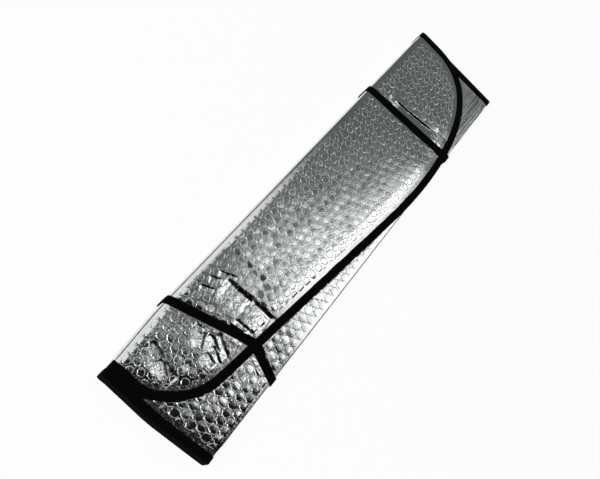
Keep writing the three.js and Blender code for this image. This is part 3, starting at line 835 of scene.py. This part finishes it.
class BuildFoilSheet(bpy.types.Operator):
    """Folds the bubble foil into its pack"""

    bl_idname = "sunshade.build_foil_sheet"
    bl_label = "Foil sheet"

    # The cuts along and across a bubble, in the top two panels and in the others that show
    FINE_CUTS = (8, 6)
    UNDER_CUTS = (6, 4)

    # The step of the plain layers, the steps round a fold, and how near a cut may come to an end
    COARSE_STEP = 0.009
    FOLD_STEPS = 8
    CLOSEST_ROW = 0.3
    CLOSEST_CUT = 0.0006

    # How far under the outer panel the next one keeps its fine cuts
    SHOWN_MARGIN = 0.004

    # The strip without bubbles beside the folds and at the open side
    SMOOTH_STRIPS = (0.004, 0.002)

    # How high the bubbles stand at the far end of the top, and in the middle of the next panel
    FAR_RELIEF = 0.35
    MIDDLE_RELIEF = 0.25

    # How much of their height the bubbles lose in a patch that is pressed flat
    PATCH_LOSS = 0.85

    def levels(self, pack, face):
        """The distances along the sheet at which one face has its rows, with the cuts of a bubble there."""
        width, arc = pack.sheet.panel_width, pack.fold_arc
        levels = []
        for panel in range(pack.sheet.panel_count):
            start = panel * width
            top = pack.edge_top[1]
            first = width - top if panel == 0 else start + arc / 2
            last = start + top if panel == pack.last else start + width - arc / 2
            shown = panel in ((0, pack.last) if face == 1 else (1, pack.last - 1))
            cuts = self.FINE_CUTS if panel < 2 else self.UNDER_CUTS
            if shown:
                step = pack.row_pitch / cuts[1]
                middle = np.arange(math.floor(first / step) + 1, math.ceil(last / step)) * step
                close = step * self.CLOSEST_ROW
                middle = middle[(middle > first + close) & (middle < last - close)]
            else:
                middle = np.linspace(first, last, 4)[1:-1]
                cuts = None
            levels += [(panel, along, cuts) for along in (first, *middle, last)]
            if panel < pack.last:
                edge_cuts = self.FINE_CUTS if shown or (panel == 0 and face == 1) else None
                turns = np.arange(1, self.FOLD_STEPS) / self.FOLD_STEPS
                levels += [(panel, last + arc * turn, edge_cuts) for turn in turns]
        return levels

    def stations(self, pack, panel, out, first, last, cuts):
        """Places along a row: in step with the bubbles where they show, and wider apart elsewhere."""
        coarse = np.arange(math.ceil(first / self.COARSE_STEP), last / self.COARSE_STEP) * self.COARSE_STEP
        if cuts is None:
            inner = coarse
        else:
            step = pack.sheet.bubble_pitch / cuts[0]
            fine = np.arange(math.ceil(first / step), last / step) * step
            if panel in (0, pack.last):
                inner = fine
            else:
                shows = pack.inside_edge(fine, np.full_like(fine, out)) < self.SHOWN_MARGIN
                every = np.arange(len(fine)) % cuts[0] == 0
                inner = fine[shows | every]
        inner = inner[(inner > first + self.CLOSEST_CUT) & (inner < last - self.CLOSEST_CUT)]
        return np.concatenate([[first], inner, [last]])

    def out_of(self, pack, panel, along):
        """The distance out from the fold, across an outer panel or the one beside it."""
        width = pack.sheet.panel_width
        if panel % 2 == 0:
            return (panel + 1) * width - along
        return along - panel * width

    def within(self, value, low, high):
        """1 between two numbers and 0 outside them, with soft ends."""
        soft = 0.005
        return smoothstep(value, low - soft, low + soft) * (1 - smoothstep(value, high - soft, high + soft))

    def build_row(self, skin, pack, face, panel, along, cuts):
        """One row of one face, with how far its bubbles stand up: its places and vertex numbers."""
        sheet = pack.sheet
        outer = panel in (0, pack.last)
        out = min(self.out_of(pack, panel, along), pack.edge_top[1])
        first, last = pack.span(out) if outer else (-pack.sheet_end, pack.sheet_end)
        x = self.stations(pack, panel, out, first, last, cuts)
        inside = pack.inside_edge(x, np.full_like(x, out)) if cuts or outer else None
        seam = np.maximum(0, inside) if outer else pack.sheet_end - np.abs(x)
        half = pack.half_thickness(seam)
        relief = np.zeros_like(x)
        y, z = pack.fold(np.full_like(x, along), 0.0)
        if cuts:
            from_fold = pack.flat_width / 2 - np.abs(y)
            bare = pack.tape.side + pack.tape.pressed_margin
            smooth_strip = np.where(y < 0, *self.SMOOTH_STRIPS)
            relief = smoothstep(seam, bare - 0.0015, bare + 0.0015)
            relief *= smoothstep(from_fold - smooth_strip, 0, 0.003)
            level = z / pack.thickness
            gap = pack.loop_sizes.width / 2
            relief *= 1 - pack.pressed(x, y, level, gap + 0.001, gap + 0.004)
            if outer:
                relief *= self.FAR_RELIEF + (1 - self.FAR_RELIEF) * smoothstep(x, -0.1, 0.15)
                for patch in FLAT_PATCHES:
                    pressed = self.within(x, *patch[:2]) * self.within(y, *patch[2:])
                    relief *= 1 - self.PATCH_LOSS * pressed
            else:
                relief *= smoothstep(-inside, 0.0, 0.002)
                middle = self.MIDDLE_RELIEF
                relief *= middle * smoothstep(x, -0.12, 0) + (1 - middle) * smoothstep(x, 0.12, 0.22)
        dome = sheet.outer_rise * sheet.dome_share if outer else sheet.back_rise * sheet.back_dome_share
        rise = relief * dome
        if panel == pack.last and face == 1:
            half = half - np.minimum(rise, half * 0.5)
        rows = np.full_like(x, along)
        points = pack.place(x, rows, face * half)
        outward = unit(pack.place(x, rows, face * (half + 0.001)) - points)
        flat = np.stack([x, rows, np.zeros_like(x)], -1)
        return {"x": x, "along": along, "index": skin.row(points, flat, outward, rise, relief)}

    def edge_between(self, skin, pack, face, a, b):
        """The corners of an outer panel's edge between two rows, on its far side and its near side."""
        width = pack.sheet.panel_width
        x, out = pack.edge[:, 0], pack.edge[:, 1]
        along = width - out if b < width else pack.last * width + out
        chosen = (along > a + 1e-5) & (along < b - 1e-5)
        sides = []
        for side in (x < pack.edge_top[0], x > pack.edge_top[0]):
            pick = np.flatnonzero(chosen & side)
            pick = pick[np.argsort(along[pick])]
            off = np.full(len(pick), face * pack.tape.pressed_edge / 2)
            points = pack.place(x[pick], along[pick], off).reshape(-1, 3)
            flat = np.stack([x[pick], along[pick], np.zeros(len(pick))], -1)
            outward = np.tile([0.0, 0.0, 1.0], (len(pick), 1))
            index = skin.row(points, flat, outward, np.zeros(len(pick)), np.zeros(len(pick)))
            sides.append({"x": x[pick], "along": along[pick], "index": index})
        return sides

    def build_face(self, skin, pack, face):
        """One face of the sheet, and the chains of its two ends."""
        levels = self.levels(pack, face)
        rows = [self.build_row(skin, pack, face, *level) for level in levels]
        start, index = rows[0]["along"], rows[0]["index"]
        ends = {"far": [(start, index[0])], "near": [(start, index[-1])]}
        width = pack.sheet.panel_width
        for before, here in zip(rows, rows[1:]):
            a, b = before["along"], here["along"]
            first_x, first = list(before["x"]), list(before["index"])
            second_x, second = list(here["x"]), list(here["index"])
            if b < width - pack.fold_arc / 2 + 0.001 or a > pack.last * width + pack.fold_arc / 2 - 0.001:
                far, near = self.edge_between(skin, pack, face, a, b)
                if b < width:
                    first = list(far["index"][::-1]) + first + list(near["index"])
                    first_x = list(far["x"][::-1]) + first_x + list(near["x"])
                else:
                    second = list(far["index"]) + second + list(near["index"][::-1])
                    second_x = list(far["x"]) + second_x + list(near["x"][::-1])
                ends["far"] += zip(far["along"], far["index"])
                ends["near"] += zip(near["along"], near["index"])
            if face == 1:
                skin.zip(first, second, first_x, second_x)
            else:
                skin.zip(second, first, second_x, first_x)
            ends["far"].append((b, here["index"][0]))
            ends["near"].append((b, here["index"][-1]))
        return ends

    def execute(self, context):
        pack = Pack(context.scene)
        skin = Skin()
        outer = self.build_face(skin, pack, 1)
        back = self.build_face(skin, pack, -1)
        for a, b in ((outer["far"], back["far"]), (back["near"], outer["near"])):
            skin.zip([i for _, i in a], [i for _, i in b], [s for s, _ in a], [s for s, _ in b])
        flat = np.concatenate(skin.flat)
        mesh = new_mesh("foil_sheet_shown", np.concatenate(skin.points), skin.faces, flat[:, :2])
        set_attribute(mesh, "flat_place", flat)
        set_attribute(mesh, "outward", np.concatenate(skin.outward))
        set_attribute(mesh, "rise", np.concatenate(skin.rise))
        set_attribute(mesh, "relief", np.concatenate(skin.relief))
        material = foil_material(context.scene)
        piece = show("foil_sheet_shown", mesh, material)
        bake_nodes(piece, bubble_tree(), {
            "Pitch": pack.sheet.bubble_pitch, "Radius": pack.sheet.bubble_radius, "Seed": 7, "Foil": material,
        })
        for name in ("flat_place", "outward", "rise"):
            piece.data.attributes.remove(piece.data.attributes[name])
        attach(piece, "root")
        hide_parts("foil_sheet")
        return {"FINISHED"}


def tape_route(pack):
    """The way round the sheet's edge, as x and distance along the sheet."""
    width, arc, end = pack.sheet.panel_width, pack.fold_arc, pack.sheet_end
    x, out = pack.edge[1:-1].T
    top_side = np.stack([x, width - out], -1)
    bottom_side = np.stack([x, pack.last * width + out], -1)

    def folded_end(at, first, last):
        """The folded end of the pack at one x, from the top panel's corner to the bottom panel's."""
        steps = []
        for upper in range(pack.last):
            fold = (upper + 1) * width
            before = fold - width + arc / 2 if upper else first
            turn = fold - arc / 2
            if turn - before > 0.003:
                steps += list(np.linspace(before, turn, 12)[:-1])
            steps += list(np.linspace(turn, fold + arc / 2, 7)[:-1])
        steps += list(np.linspace(pack.last * width + arc / 2, last, 10))
        steps = [s for s in steps if first + 0.001 < s < last - 0.001]
        return np.stack([np.full(len(steps), at), steps], -1)

    near_end = folded_end(end, top_side[-1, 1], bottom_side[-1, 1])
    far_end = folded_end(-end, top_side[0, 1], bottom_side[0, 1])
    return np.concatenate([top_side, near_end, bottom_side[::-1], far_end[::-1]])


def route_sides(route):
    """The direction into the sheet, square to a closed route."""
    after = np.roll(route, -1, 0) - route
    before = route - np.roll(route, 1, 0)
    way = unit(unit(after) + unit(before))
    return np.stack([-way[:, 1], way[:, 0]], -1)


def ring_faces(rings, around):
    """Faces of a tube closed both ways, from its number of rings and of points around each."""
    faces = []
    for k in range(rings):
        after = (k + 1) % rings
        for i in range(around):
            j = (i + 1) % around
            faces.append((k * around + i, k * around + j, after * around + j, after * around + i))
    return faces


def tube(lines, flat_lines):
    """A tube closed both ways, from the lines along it and their flat map: points, faces and UV."""
    points = np.stack(lines, 1)
    return points.reshape(-1, 3), ring_faces(*points.shape[:2]), np.stack(flat_lines, 1).reshape(-1, 2)


class BuildBinding(bpy.types.Operator):
    """Folds the binding tape over the sheet's edge and sews it on"""

    bl_idname = "sunshade.build_binding"
    bl_label = "Binding"

    # How much wider the tape lies where it is crushed at the near end of the top fold, and where it
    # is back to its width, out from the fold
    CORNER_SPREAD = 0.008
    CORNER_FADE = (0.012, 0.050)

    # How unevenly the tape's inner edge runs
    UNEVENNESS = 0.0005

    def section(self, tape):
        """The tape's section, as distance in from the sheet's edge and off its middle."""
        pocket = tape.pressed_edge / 2 + tape.clearance * 0.5
        skin = tape.pressed_edge / 2 + tape.clearance + tape.wall
        back = -tape.clearance - tape.wall
        side = tape.side
        upper = [
            (side - 0.0003, pocket),
            (side, pocket + tape.wall * 0.35),
            (side - 0.0003, pocket + tape.wall),
            (side - 0.0012, skin - 0.0001),
            (side - 0.0035, skin),
            (side * 0.45, skin),
            (0.0012, skin),
            (back + 0.0005, skin * 0.88),
            (back + 0.0001, skin * 0.5),
        ]
        lower = [(inside, -off) for inside, off in reversed(upper)]
        inner = -tape.clearance * 0.5
        return upper + [(back, 0.0)] + lower + [(inner, -pocket), (inner, pocket)]

    def execute(self, context):
        pack = Pack(context.scene)
        tape = pack.tape
        route = tape_route(pack)
        inward = route_sides(route)
        walked = walk(route)
        uneven = self.UNEVENNESS * waves(walked, walked * 0, 0.03, 11)
        out = pack.sheet.panel_width - route[:, 1]
        corner = (route[:, 0] > 0) * (1 - smoothstep(out, *self.CORNER_FADE)) * smoothstep(out, -0.004, 0)
        section = self.section(tape)
        around = walk(section)
        lines, flat_lines = [], []
        for i, (inside, off) in enumerate(section):
            reach = inside + (uneven + self.CORNER_SPREAD * corner) * (inside / tape.side)
            spot = route + inward * reach[:, None]
            lines.append(pack.place(spot[:, 0], spot[:, 1], np.full(len(spot), off)))
            flat_lines.append(np.stack([walked, np.full_like(walked, around[i])], -1))
        mesh = new_mesh("edge_binding_shown", *tube(lines, flat_lines))
        material = cloth_material("black binding tape", tape.tape, 0.0011, 0.0008, 0.0003)
        piece = show("edge_binding_shown", mesh, material)
        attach(piece, "root")
        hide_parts("edge_binding")
        seams = self.seams(pack, route, inward)
        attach(seams, "root")
        return {"FINISHED"}

    def seams(self, pack, route, inward):
        """The seam's stitches on the tape's two faces."""
        tape = pack.tape
        skin = tape.pressed_edge / 2 + tape.clearance + tape.wall
        spot = route + inward * (tape.side - tape.stitch_inset)
        points, outward, edges = [], [], []
        for face in (1, -1):
            off = np.full(len(spot), face * skin)
            line = pack.place(spot[:, 0], spot[:, 1], off)
            up = pack.place(spot[:, 0], spot[:, 1], off + face * 0.0005) - line
            start = len(points) * len(spot)
            edges += [(start + i, start + (i + 1) % len(spot)) for i in range(len(spot))]
            points.append(line)
            outward.append(unit(up))
        mesh = bpy.data.meshes.new("binding_stitches")
        mesh.from_pydata(np.concatenate(points).tolist(), edges, [])
        set_attribute(mesh, "outward", np.concatenate(outward))
        material = thread_material(tape.tape)
        piece = show("binding_stitches", mesh, None)
        bake_nodes(piece, stitch_tree(), {
            "Pitch": tape.stitch_pitch, "Thread": tape.thread, "Cotton": material,
        })
        return piece


def thread_material(colour_value):
    """Dark sewing thread with a soft gloss."""
    material, nodes, shader = new_material("black sewing thread")
    place = nodes.add("ShaderNodeTexCoord", output=3)
    twist = nodes.add("ShaderNodeTexNoise", Vector=place, Scale=1800.0, Detail=2.0)
    light = [min(1, c * 3.2) for c in colour_value]
    nodes.join(shader.inputs["Base Color"], nodes.mix(twist, plain(colour_value), plain(light)))
    nodes.join(shader.inputs["Roughness"], 0.55 + twist * 0.2)
    shader.inputs["Specular IOR Level"].default_value = 0.1
    bump = nodes.add("ShaderNodeBump", Strength=0.5, Distance=0.0002, Height=twist)
    nodes.join(shader.inputs["Normal"], bump)
    return material


class BuildLoops(bpy.types.Operator):
    """Lays the two elastic loops round the pack and sews them to the binding"""

    bl_idname = "sunshade.build_loops"
    bl_label = "Elastic loops"

    ARC_STEPS = 8

    # How high the valleys between the ribs and the two edges are, as shares of the thickness
    VALLEY = 0.78
    EDGE = 0.3

    # How far a loop sways from its line, and how far the edge of its sewn ends does
    SWAY = 0.0004
    TAB_SWAY = 0.0006

    # The squares along and across the sewn ends
    TAB_STEPS = (24, 12)

    def half(self, pack, name, level):
        """Half the way round a loop, from the folds' side to the open side, as y, z and outward turn."""
        sizes = pack.loop_sizes
        reach = pack.fold_radius + pack.sheet.thickness / 2 + sizes.clearance
        top = pack.thickness + sizes.clearance
        side = pack.flat_width / 2
        centre = top - reach
        sewn = pack.sewn_y[name]
        edge = sewn
        for _ in range(4):
            edge = float(pack.free_edge(pack.loop_x(name, edge, level))) - pack.sheet.panel_width / 2
        edge += pack.tape.wall + pack.tape.clearance + sizes.overhang
        drop = pack.layer_pitch if edge + 2 * pack.layer_pitch < side else 0
        way = []
        for turn in np.linspace(-math.pi / 2, 0, self.ARC_STEPS + 1):
            way.append((-side + reach * math.sin(turn), centre + reach * math.cos(turn), turn))
        stop = edge if drop else side
        for y in np.linspace(-side, stop, 26)[1:-1]:
            way.append((y, top, 0.0))
        if drop:
            low = edge + 2 * pack.layer_pitch
            for t in np.linspace(0, 1, 5):
                way.append((edge + (low - edge) * t, top - drop * float(smoothstep(t, 0, 1)), 0.0))
            for y in np.linspace(low, side, 8)[1:-1]:
                way.append((y, top - drop, 0.0))
        for turn in np.linspace(0, math.pi / 2, self.ARC_STEPS + 1):
            way.append((side + reach * math.sin(turn), centre - drop + reach * math.cos(turn), turn))
        return way

    def band(self, pack, name):
        """The ribbed band of one loop: points, faces and flat map."""
        sizes = pack.loop_sizes
        over = self.half(pack, name, 1)
        under = [(y, pack.thickness - z, math.pi - turn) for y, z, turn in self.half(pack, name, 0)]
        route = np.array(over + under[::-1])
        y, z, turn = route.T
        middle = np.stack([pack.loop_x(name, y, np.clip(z / pack.thickness, 0, 1)), y, z], -1)
        way = unit(np.roll(middle, -1, 0) - np.roll(middle, 1, 0))
        outward = np.stack([np.zeros_like(turn), np.sin(turn), np.cos(turn)], -1)
        across = unit(np.cross(way, outward))
        walked = walk(middle)
        half, thick = sizes.width / 2, sizes.thickness
        rib = sizes.width / sizes.ribs
        sides = np.linspace(-half, half, sizes.ribs * 4 + 1)
        ridge = thick * (self.VALLEY + (1 - self.VALLEY) * np.abs(np.sin((sides + half) / rib * math.pi)))
        edge = thick * self.EDGE
        section = [(-half, edge)] + list(zip(sides[1:-1], ridge[1:-1])) + [(half, edge)]
        section += [(half * 0.96, 0.0), (-half * 0.96, 0.0)]
        sway = self.SWAY * waves(walked, walked * 0, 0.05, 21)
        lines, flat_lines = [], []
        for sideways, raised in section:
            spot = middle + across * (sideways + sway[:, None]) + outward * raised
            lines.append(pack.settle(*spot.T))
            flat_lines.append(np.stack([walked, np.full_like(walked, sideways + half)], -1))
        return tube(lines, flat_lines)

    def tab(self, pack, name):
        """The sewn ends, a rounded patch of elastic along the binding."""
        sizes = pack.loop_sizes
        sewn_x, sewn_y = pack.loops[name][0], pack.sewn_y[name]
        slope = (float(pack.free_edge(sewn_x + 0.01)) - float(pack.free_edge(sewn_x - 0.01))) / 0.02
        steps_u, steps_v = self.TAB_STEPS
        base = pack.thickness + sizes.clearance + sizes.thickness * 0.7
        u, v = np.meshgrid(np.linspace(-1, 1, steps_u + 1), np.linspace(-1, 1, steps_v + 1), indexing="ij")
        rim = np.clip((1 - np.maximum(np.abs(u) ** 4, np.abs(v) ** 4)) * 3, 0, 1)
        x = sewn_x + u * sizes.tab / 2
        sway = self.TAB_SWAY * waves(x, x * 0, 0.012, 31)
        y = sewn_y + slope * (x - sewn_x) + v * pack.tape.side * 0.46 + sway
        top = base + sizes.thickness * (0.5 * np.sqrt(rim) + 0.06 * waves(x, y, 0.006, 33))
        bottom = np.full_like(top, base - sizes.thickness * 0.6)
        points = np.concatenate([pack.settle(x, y, z).reshape(-1, 3) for z in (top, bottom)])
        uv = np.tile(np.stack([x.ravel(), y.ravel()], -1), (2, 1))
        n_v, n = steps_v + 1, x.size
        faces = []
        for i in range(steps_u):
            for j in range(steps_v):
                a, b, c, d = i * n_v + j, (i + 1) * n_v + j, (i + 1) * n_v + j + 1, i * n_v + j + 1
                faces.append((a, b, c, d))
                faces.append((n + d, n + c, n + b, n + a))
        rim_way = [(i, 0) for i in range(steps_u)] + [(steps_u, j) for j in range(steps_v)]
        rim_way += [(i, steps_v) for i in range(steps_u, 0, -1)] + [(0, j) for j in range(steps_v, 0, -1)]
        loop = [i * n_v + j for i, j in rim_way]
        for a, b in zip(loop, loop[1:] + loop[:1]):
            faces.append((a, a + n, b + n, b))
        return points, faces, uv

    def execute(self, context):
        pack = Pack(context.scene)
        material = cloth_material("black ribbed elastic", pack.loop_sizes.elastic, 0.0009, 0.0012, 0.0003)
        for name in pack.loops:
            points, faces, uv = self.band(pack, name)
            tab_points, tab_faces, tab_uv = self.tab(pack, name)
            faces += [tuple(i + len(points) for i in face) for face in tab_faces]
            points, uv = np.concatenate([points, tab_points]), np.concatenate([uv, tab_uv])
            mesh = new_mesh(f"{name}_shown", points, faces, uv)
            piece = show(f"{name}_shown", mesh, material)
            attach(piece, "root")
            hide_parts(name)
        return {"FINISHED"}


class BuildStage(bpy.types.Operator):
    """Sets up the floor, the lamp, the room and the camera"""

    bl_idname = "sunshade.build_stage"
    bl_label = "Stage"

    # The camera's place and axes, in metres beside the middle of the pack's top
    CAMERA_PLACE = (0.4665, -0.0949, 0.672)
    CAMERA_RIGHT = (-0.56482, 0.70039, 0.43638)
    CAMERA_UP = (-0.6427, -0.70505, 0.29973)
    CAMERA_FOCAL_PIXELS = 747.45
    SENSOR_WIDTH = 36.0

    # The lamp's place and its two sides, and half the floor's side
    FILL_PLACE = (2.0, -1.5, 2.2)
    FILL_SIZE = (1.5, 1.5)
    FLOOR_HALF = 6.0

    # How much of the floor's light to the camera and in reflections is plain white
    FLOOR_WHITE = 0.95

    def camera(self, scene, pack):
        """The camera at the picture's viewing angle."""
        data = bpy.data.cameras.new("camera")
        data.sensor_width = self.SENSOR_WIDTH
        data.lens = self.CAMERA_FOCAL_PIXELS / FRAME_WIDTH * self.SENSOR_WIDTH
        data.clip_start, data.clip_end = 0.01, 20
        camera = bpy.data.objects.new("camera", data)
        right, up = Vector(self.CAMERA_RIGHT), Vector(self.CAMERA_UP)
        back = right.cross(up)
        place = Vector(self.CAMERA_PLACE) + Vector(pack.shift) + Vector((0, 0, pack.thickness))
        turned = Matrix((right, up, back)).transposed().to_4x4()
        camera.matrix_world = Matrix.Translation(place) @ turned
        scene.collection.objects.link(camera)
        scene.camera = camera

    def floor(self, sizes):
        """A white floor that keeps the pack's shadow."""
        half = self.FLOOR_HALF
        corners = [(-half, -half, 0), (half, -half, 0), (half, half, 0), (-half, half, 0)]
        mesh = new_mesh("floor", corners, [(0, 1, 2, 3)])
        material, nodes = blank_material("white floor")
        lit = nodes.add("ShaderNodeBsdfDiffuse", Color=plain(sizes.floor))
        bright = nodes.add("ShaderNodeEmission", Color=(1, 1, 1, 1), Strength=1.0)
        rays = nodes.add("ShaderNodeLightPath", output=None)
        seen = Term(nodes, rays.outputs["Is Camera Ray"])
        for kind in ("Is Glossy Ray", "Is Transmission Ray"):
            seen = nodes.math("MAXIMUM", seen, Term(nodes, rays.outputs[kind]))
        both = nodes.add("ShaderNodeMixShader", i0=seen * self.FLOOR_WHITE, i1=lit, i2=bright)
        output = nodes.add("ShaderNodeOutputMaterial", output=None)
        nodes.join(output.inputs["Surface"], both)
        piece = show("floor", mesh, material)

    def room(self, scene, sizes):
        """White beyond the floor to the camera, and a dim room with a pale horizon for the foil to mirror."""
        world = bpy.data.worlds.new("room")
        world.use_nodes = True
        world.node_tree.nodes.clear()
        nodes = Nodes(world.node_tree)
        way = nodes.add("ShaderNodeTexCoord", output=0)
        way_x, way_y, up = nodes.split(way)
        height = nodes.math("MAXIMUM", up, 0.05)
        along, across = way_x / height, way_y / height
        lean = nodes.smooth(along, -1.05, -0.5, 0.17, 0.045) + nodes.smooth(along, -1.05, -0.88, 0.3, 0.0)
        wall = nodes.smooth(across - lean, 0.01, 0.17) * nodes.smooth(across, 0.45, 0.8, 1.0, 0.0)
        wall = wall * nodes.smooth(along, -0.56, -0.38, 1.0, 0.0)
        window = nodes.smooth(along, -0.78, -0.6) * nodes.smooth(along, 0.1, 0.5, 1.0, 0.0)
        window = window * nodes.smooth(across, -0.12, -0.02, 1.0, 0.0) * nodes.smooth(across, -0.8, -0.55)
        dark = nodes.smooth(along + (across - 0.1) * 1.2, -0.42, -0.33)
        dark = dark * nodes.smooth(along, 0.35, 0.6, 1.0, 0.0)
        dark = dark * nodes.smooth(across - nodes.smooth(along, -0.2, 0.1) * 0.06, -0.03, 0.03)
        behind = nodes.smooth(along, 0.2, 0.5)
        dim = nodes.mix(behind, plain(sizes.grey), plain(sizes.pale))
        dim = nodes.mix(dark, dim, (0.006, 0.006, 0.006, 1))
        dim = nodes.mix(wall, dim, plain([sizes.wall] * 3))
        dim = nodes.mix(window, dim, plain([sizes.window] * 3))
        tint = nodes.mix(nodes.smooth(up, 0.12, 0.3), (1, 1, 1, 1), dim)
        rays = nodes.add("ShaderNodeLightPath", output=None)
        shown = nodes.mix(Term(nodes, rays.outputs["Is Camera Ray"]), tint, (1, 1, 1, 1))
        background = nodes.add("ShaderNodeBackground", Color=shown, Strength=1.0)
        output = nodes.add("ShaderNodeOutputWorld", output=None)
        nodes.join(output.inputs["Surface"], background)
        scene.world = world

    def lamp(self, scene, name, place, target, size, radiance):
        """A rectangular lamp of even radiance that faces its target."""
        data = bpy.data.lights.new(name, "AREA")
        data.shape = "RECTANGLE"
        data.size, data.size_y = size
        data.energy = radiance * math.pi * size[0] * size[1]
        lamp = bpy.data.objects.new(name, data)
        lamp.location = place
        lamp.rotation_mode = "QUATERNION"
        lamp.rotation_quaternion = (Vector(place) - Vector(target)).to_track_quat("Z", "Y")
        scene.collection.objects.link(lamp)

    def execute(self, context):
        scene = context.scene
        sizes = scene.sunshade_stage
        pack = Pack(scene)
        self.camera(scene, pack)
        self.floor(sizes)
        self.room(scene, sizes)
        middle = (0, 0, pack.thickness)
        self.lamp(scene, "fill", self.FILL_PLACE, middle, self.FILL_SIZE, sizes.fill)
        scene.view_settings.view_transform = "Standard"
        return {"FINISHED"}


class SunshadePanel(bpy.types.Panel):
    """Lists the sizes and the steps of the sunshade"""

    bl_idname = "VIEW3D_PT_sunshade"
    bl_label = "Sunshade"
    bl_space_type = "VIEW_3D"
    bl_region_type = "UI"
    bl_category = "Sunshade"

    def draw(self, context):
        for name, group in GROUPS.items():
            box = self.layout.box()
            box.label(text=group.__doc__)
            settings = getattr(context.scene, name)
            for key in group.__annotations__:
                box.prop(settings, key)
        for step in STEPS:
            self.layout.operator(step.bl_idname)


GROUPS = {
    "sunshade_sheet": SheetSizes,
    "sunshade_tape": TapeSizes,
    "sunshade_loops": LoopSizes,
    "sunshade_settle": SettleSizes,
    "sunshade_stage": StageSizes,
}
STEPS = (BuildStage, BuildFoilSheet, BuildBinding, BuildLoops)


def register():
    for group in GROUPS.values():
        bpy.utils.register_class(group)
    for name, group in GROUPS.items():
        setattr(bpy.types.Scene, name, bpy.props.PointerProperty(type=group))
    for kind in (*STEPS, SunshadePanel):
        bpy.utils.register_class(kind)


def unregister():
    for kind in (SunshadePanel, *reversed(STEPS)):
        bpy.utils.unregister_class(kind)
    for name, group in reversed(GROUPS.items()):
        delattr(bpy.types.Scene, name)
        bpy.utils.unregister_class(group)


def main():
    register()
    bpy.ops.sunshade.build_stage()
    bpy.ops.sunshade.build_foil_sheet()
    bpy.ops.sunshade.build_binding()
    bpy.ops.sunshade.build_loops()
    pack = Pack(bpy.context.scene)


if __name__ == "__main__":
    main()
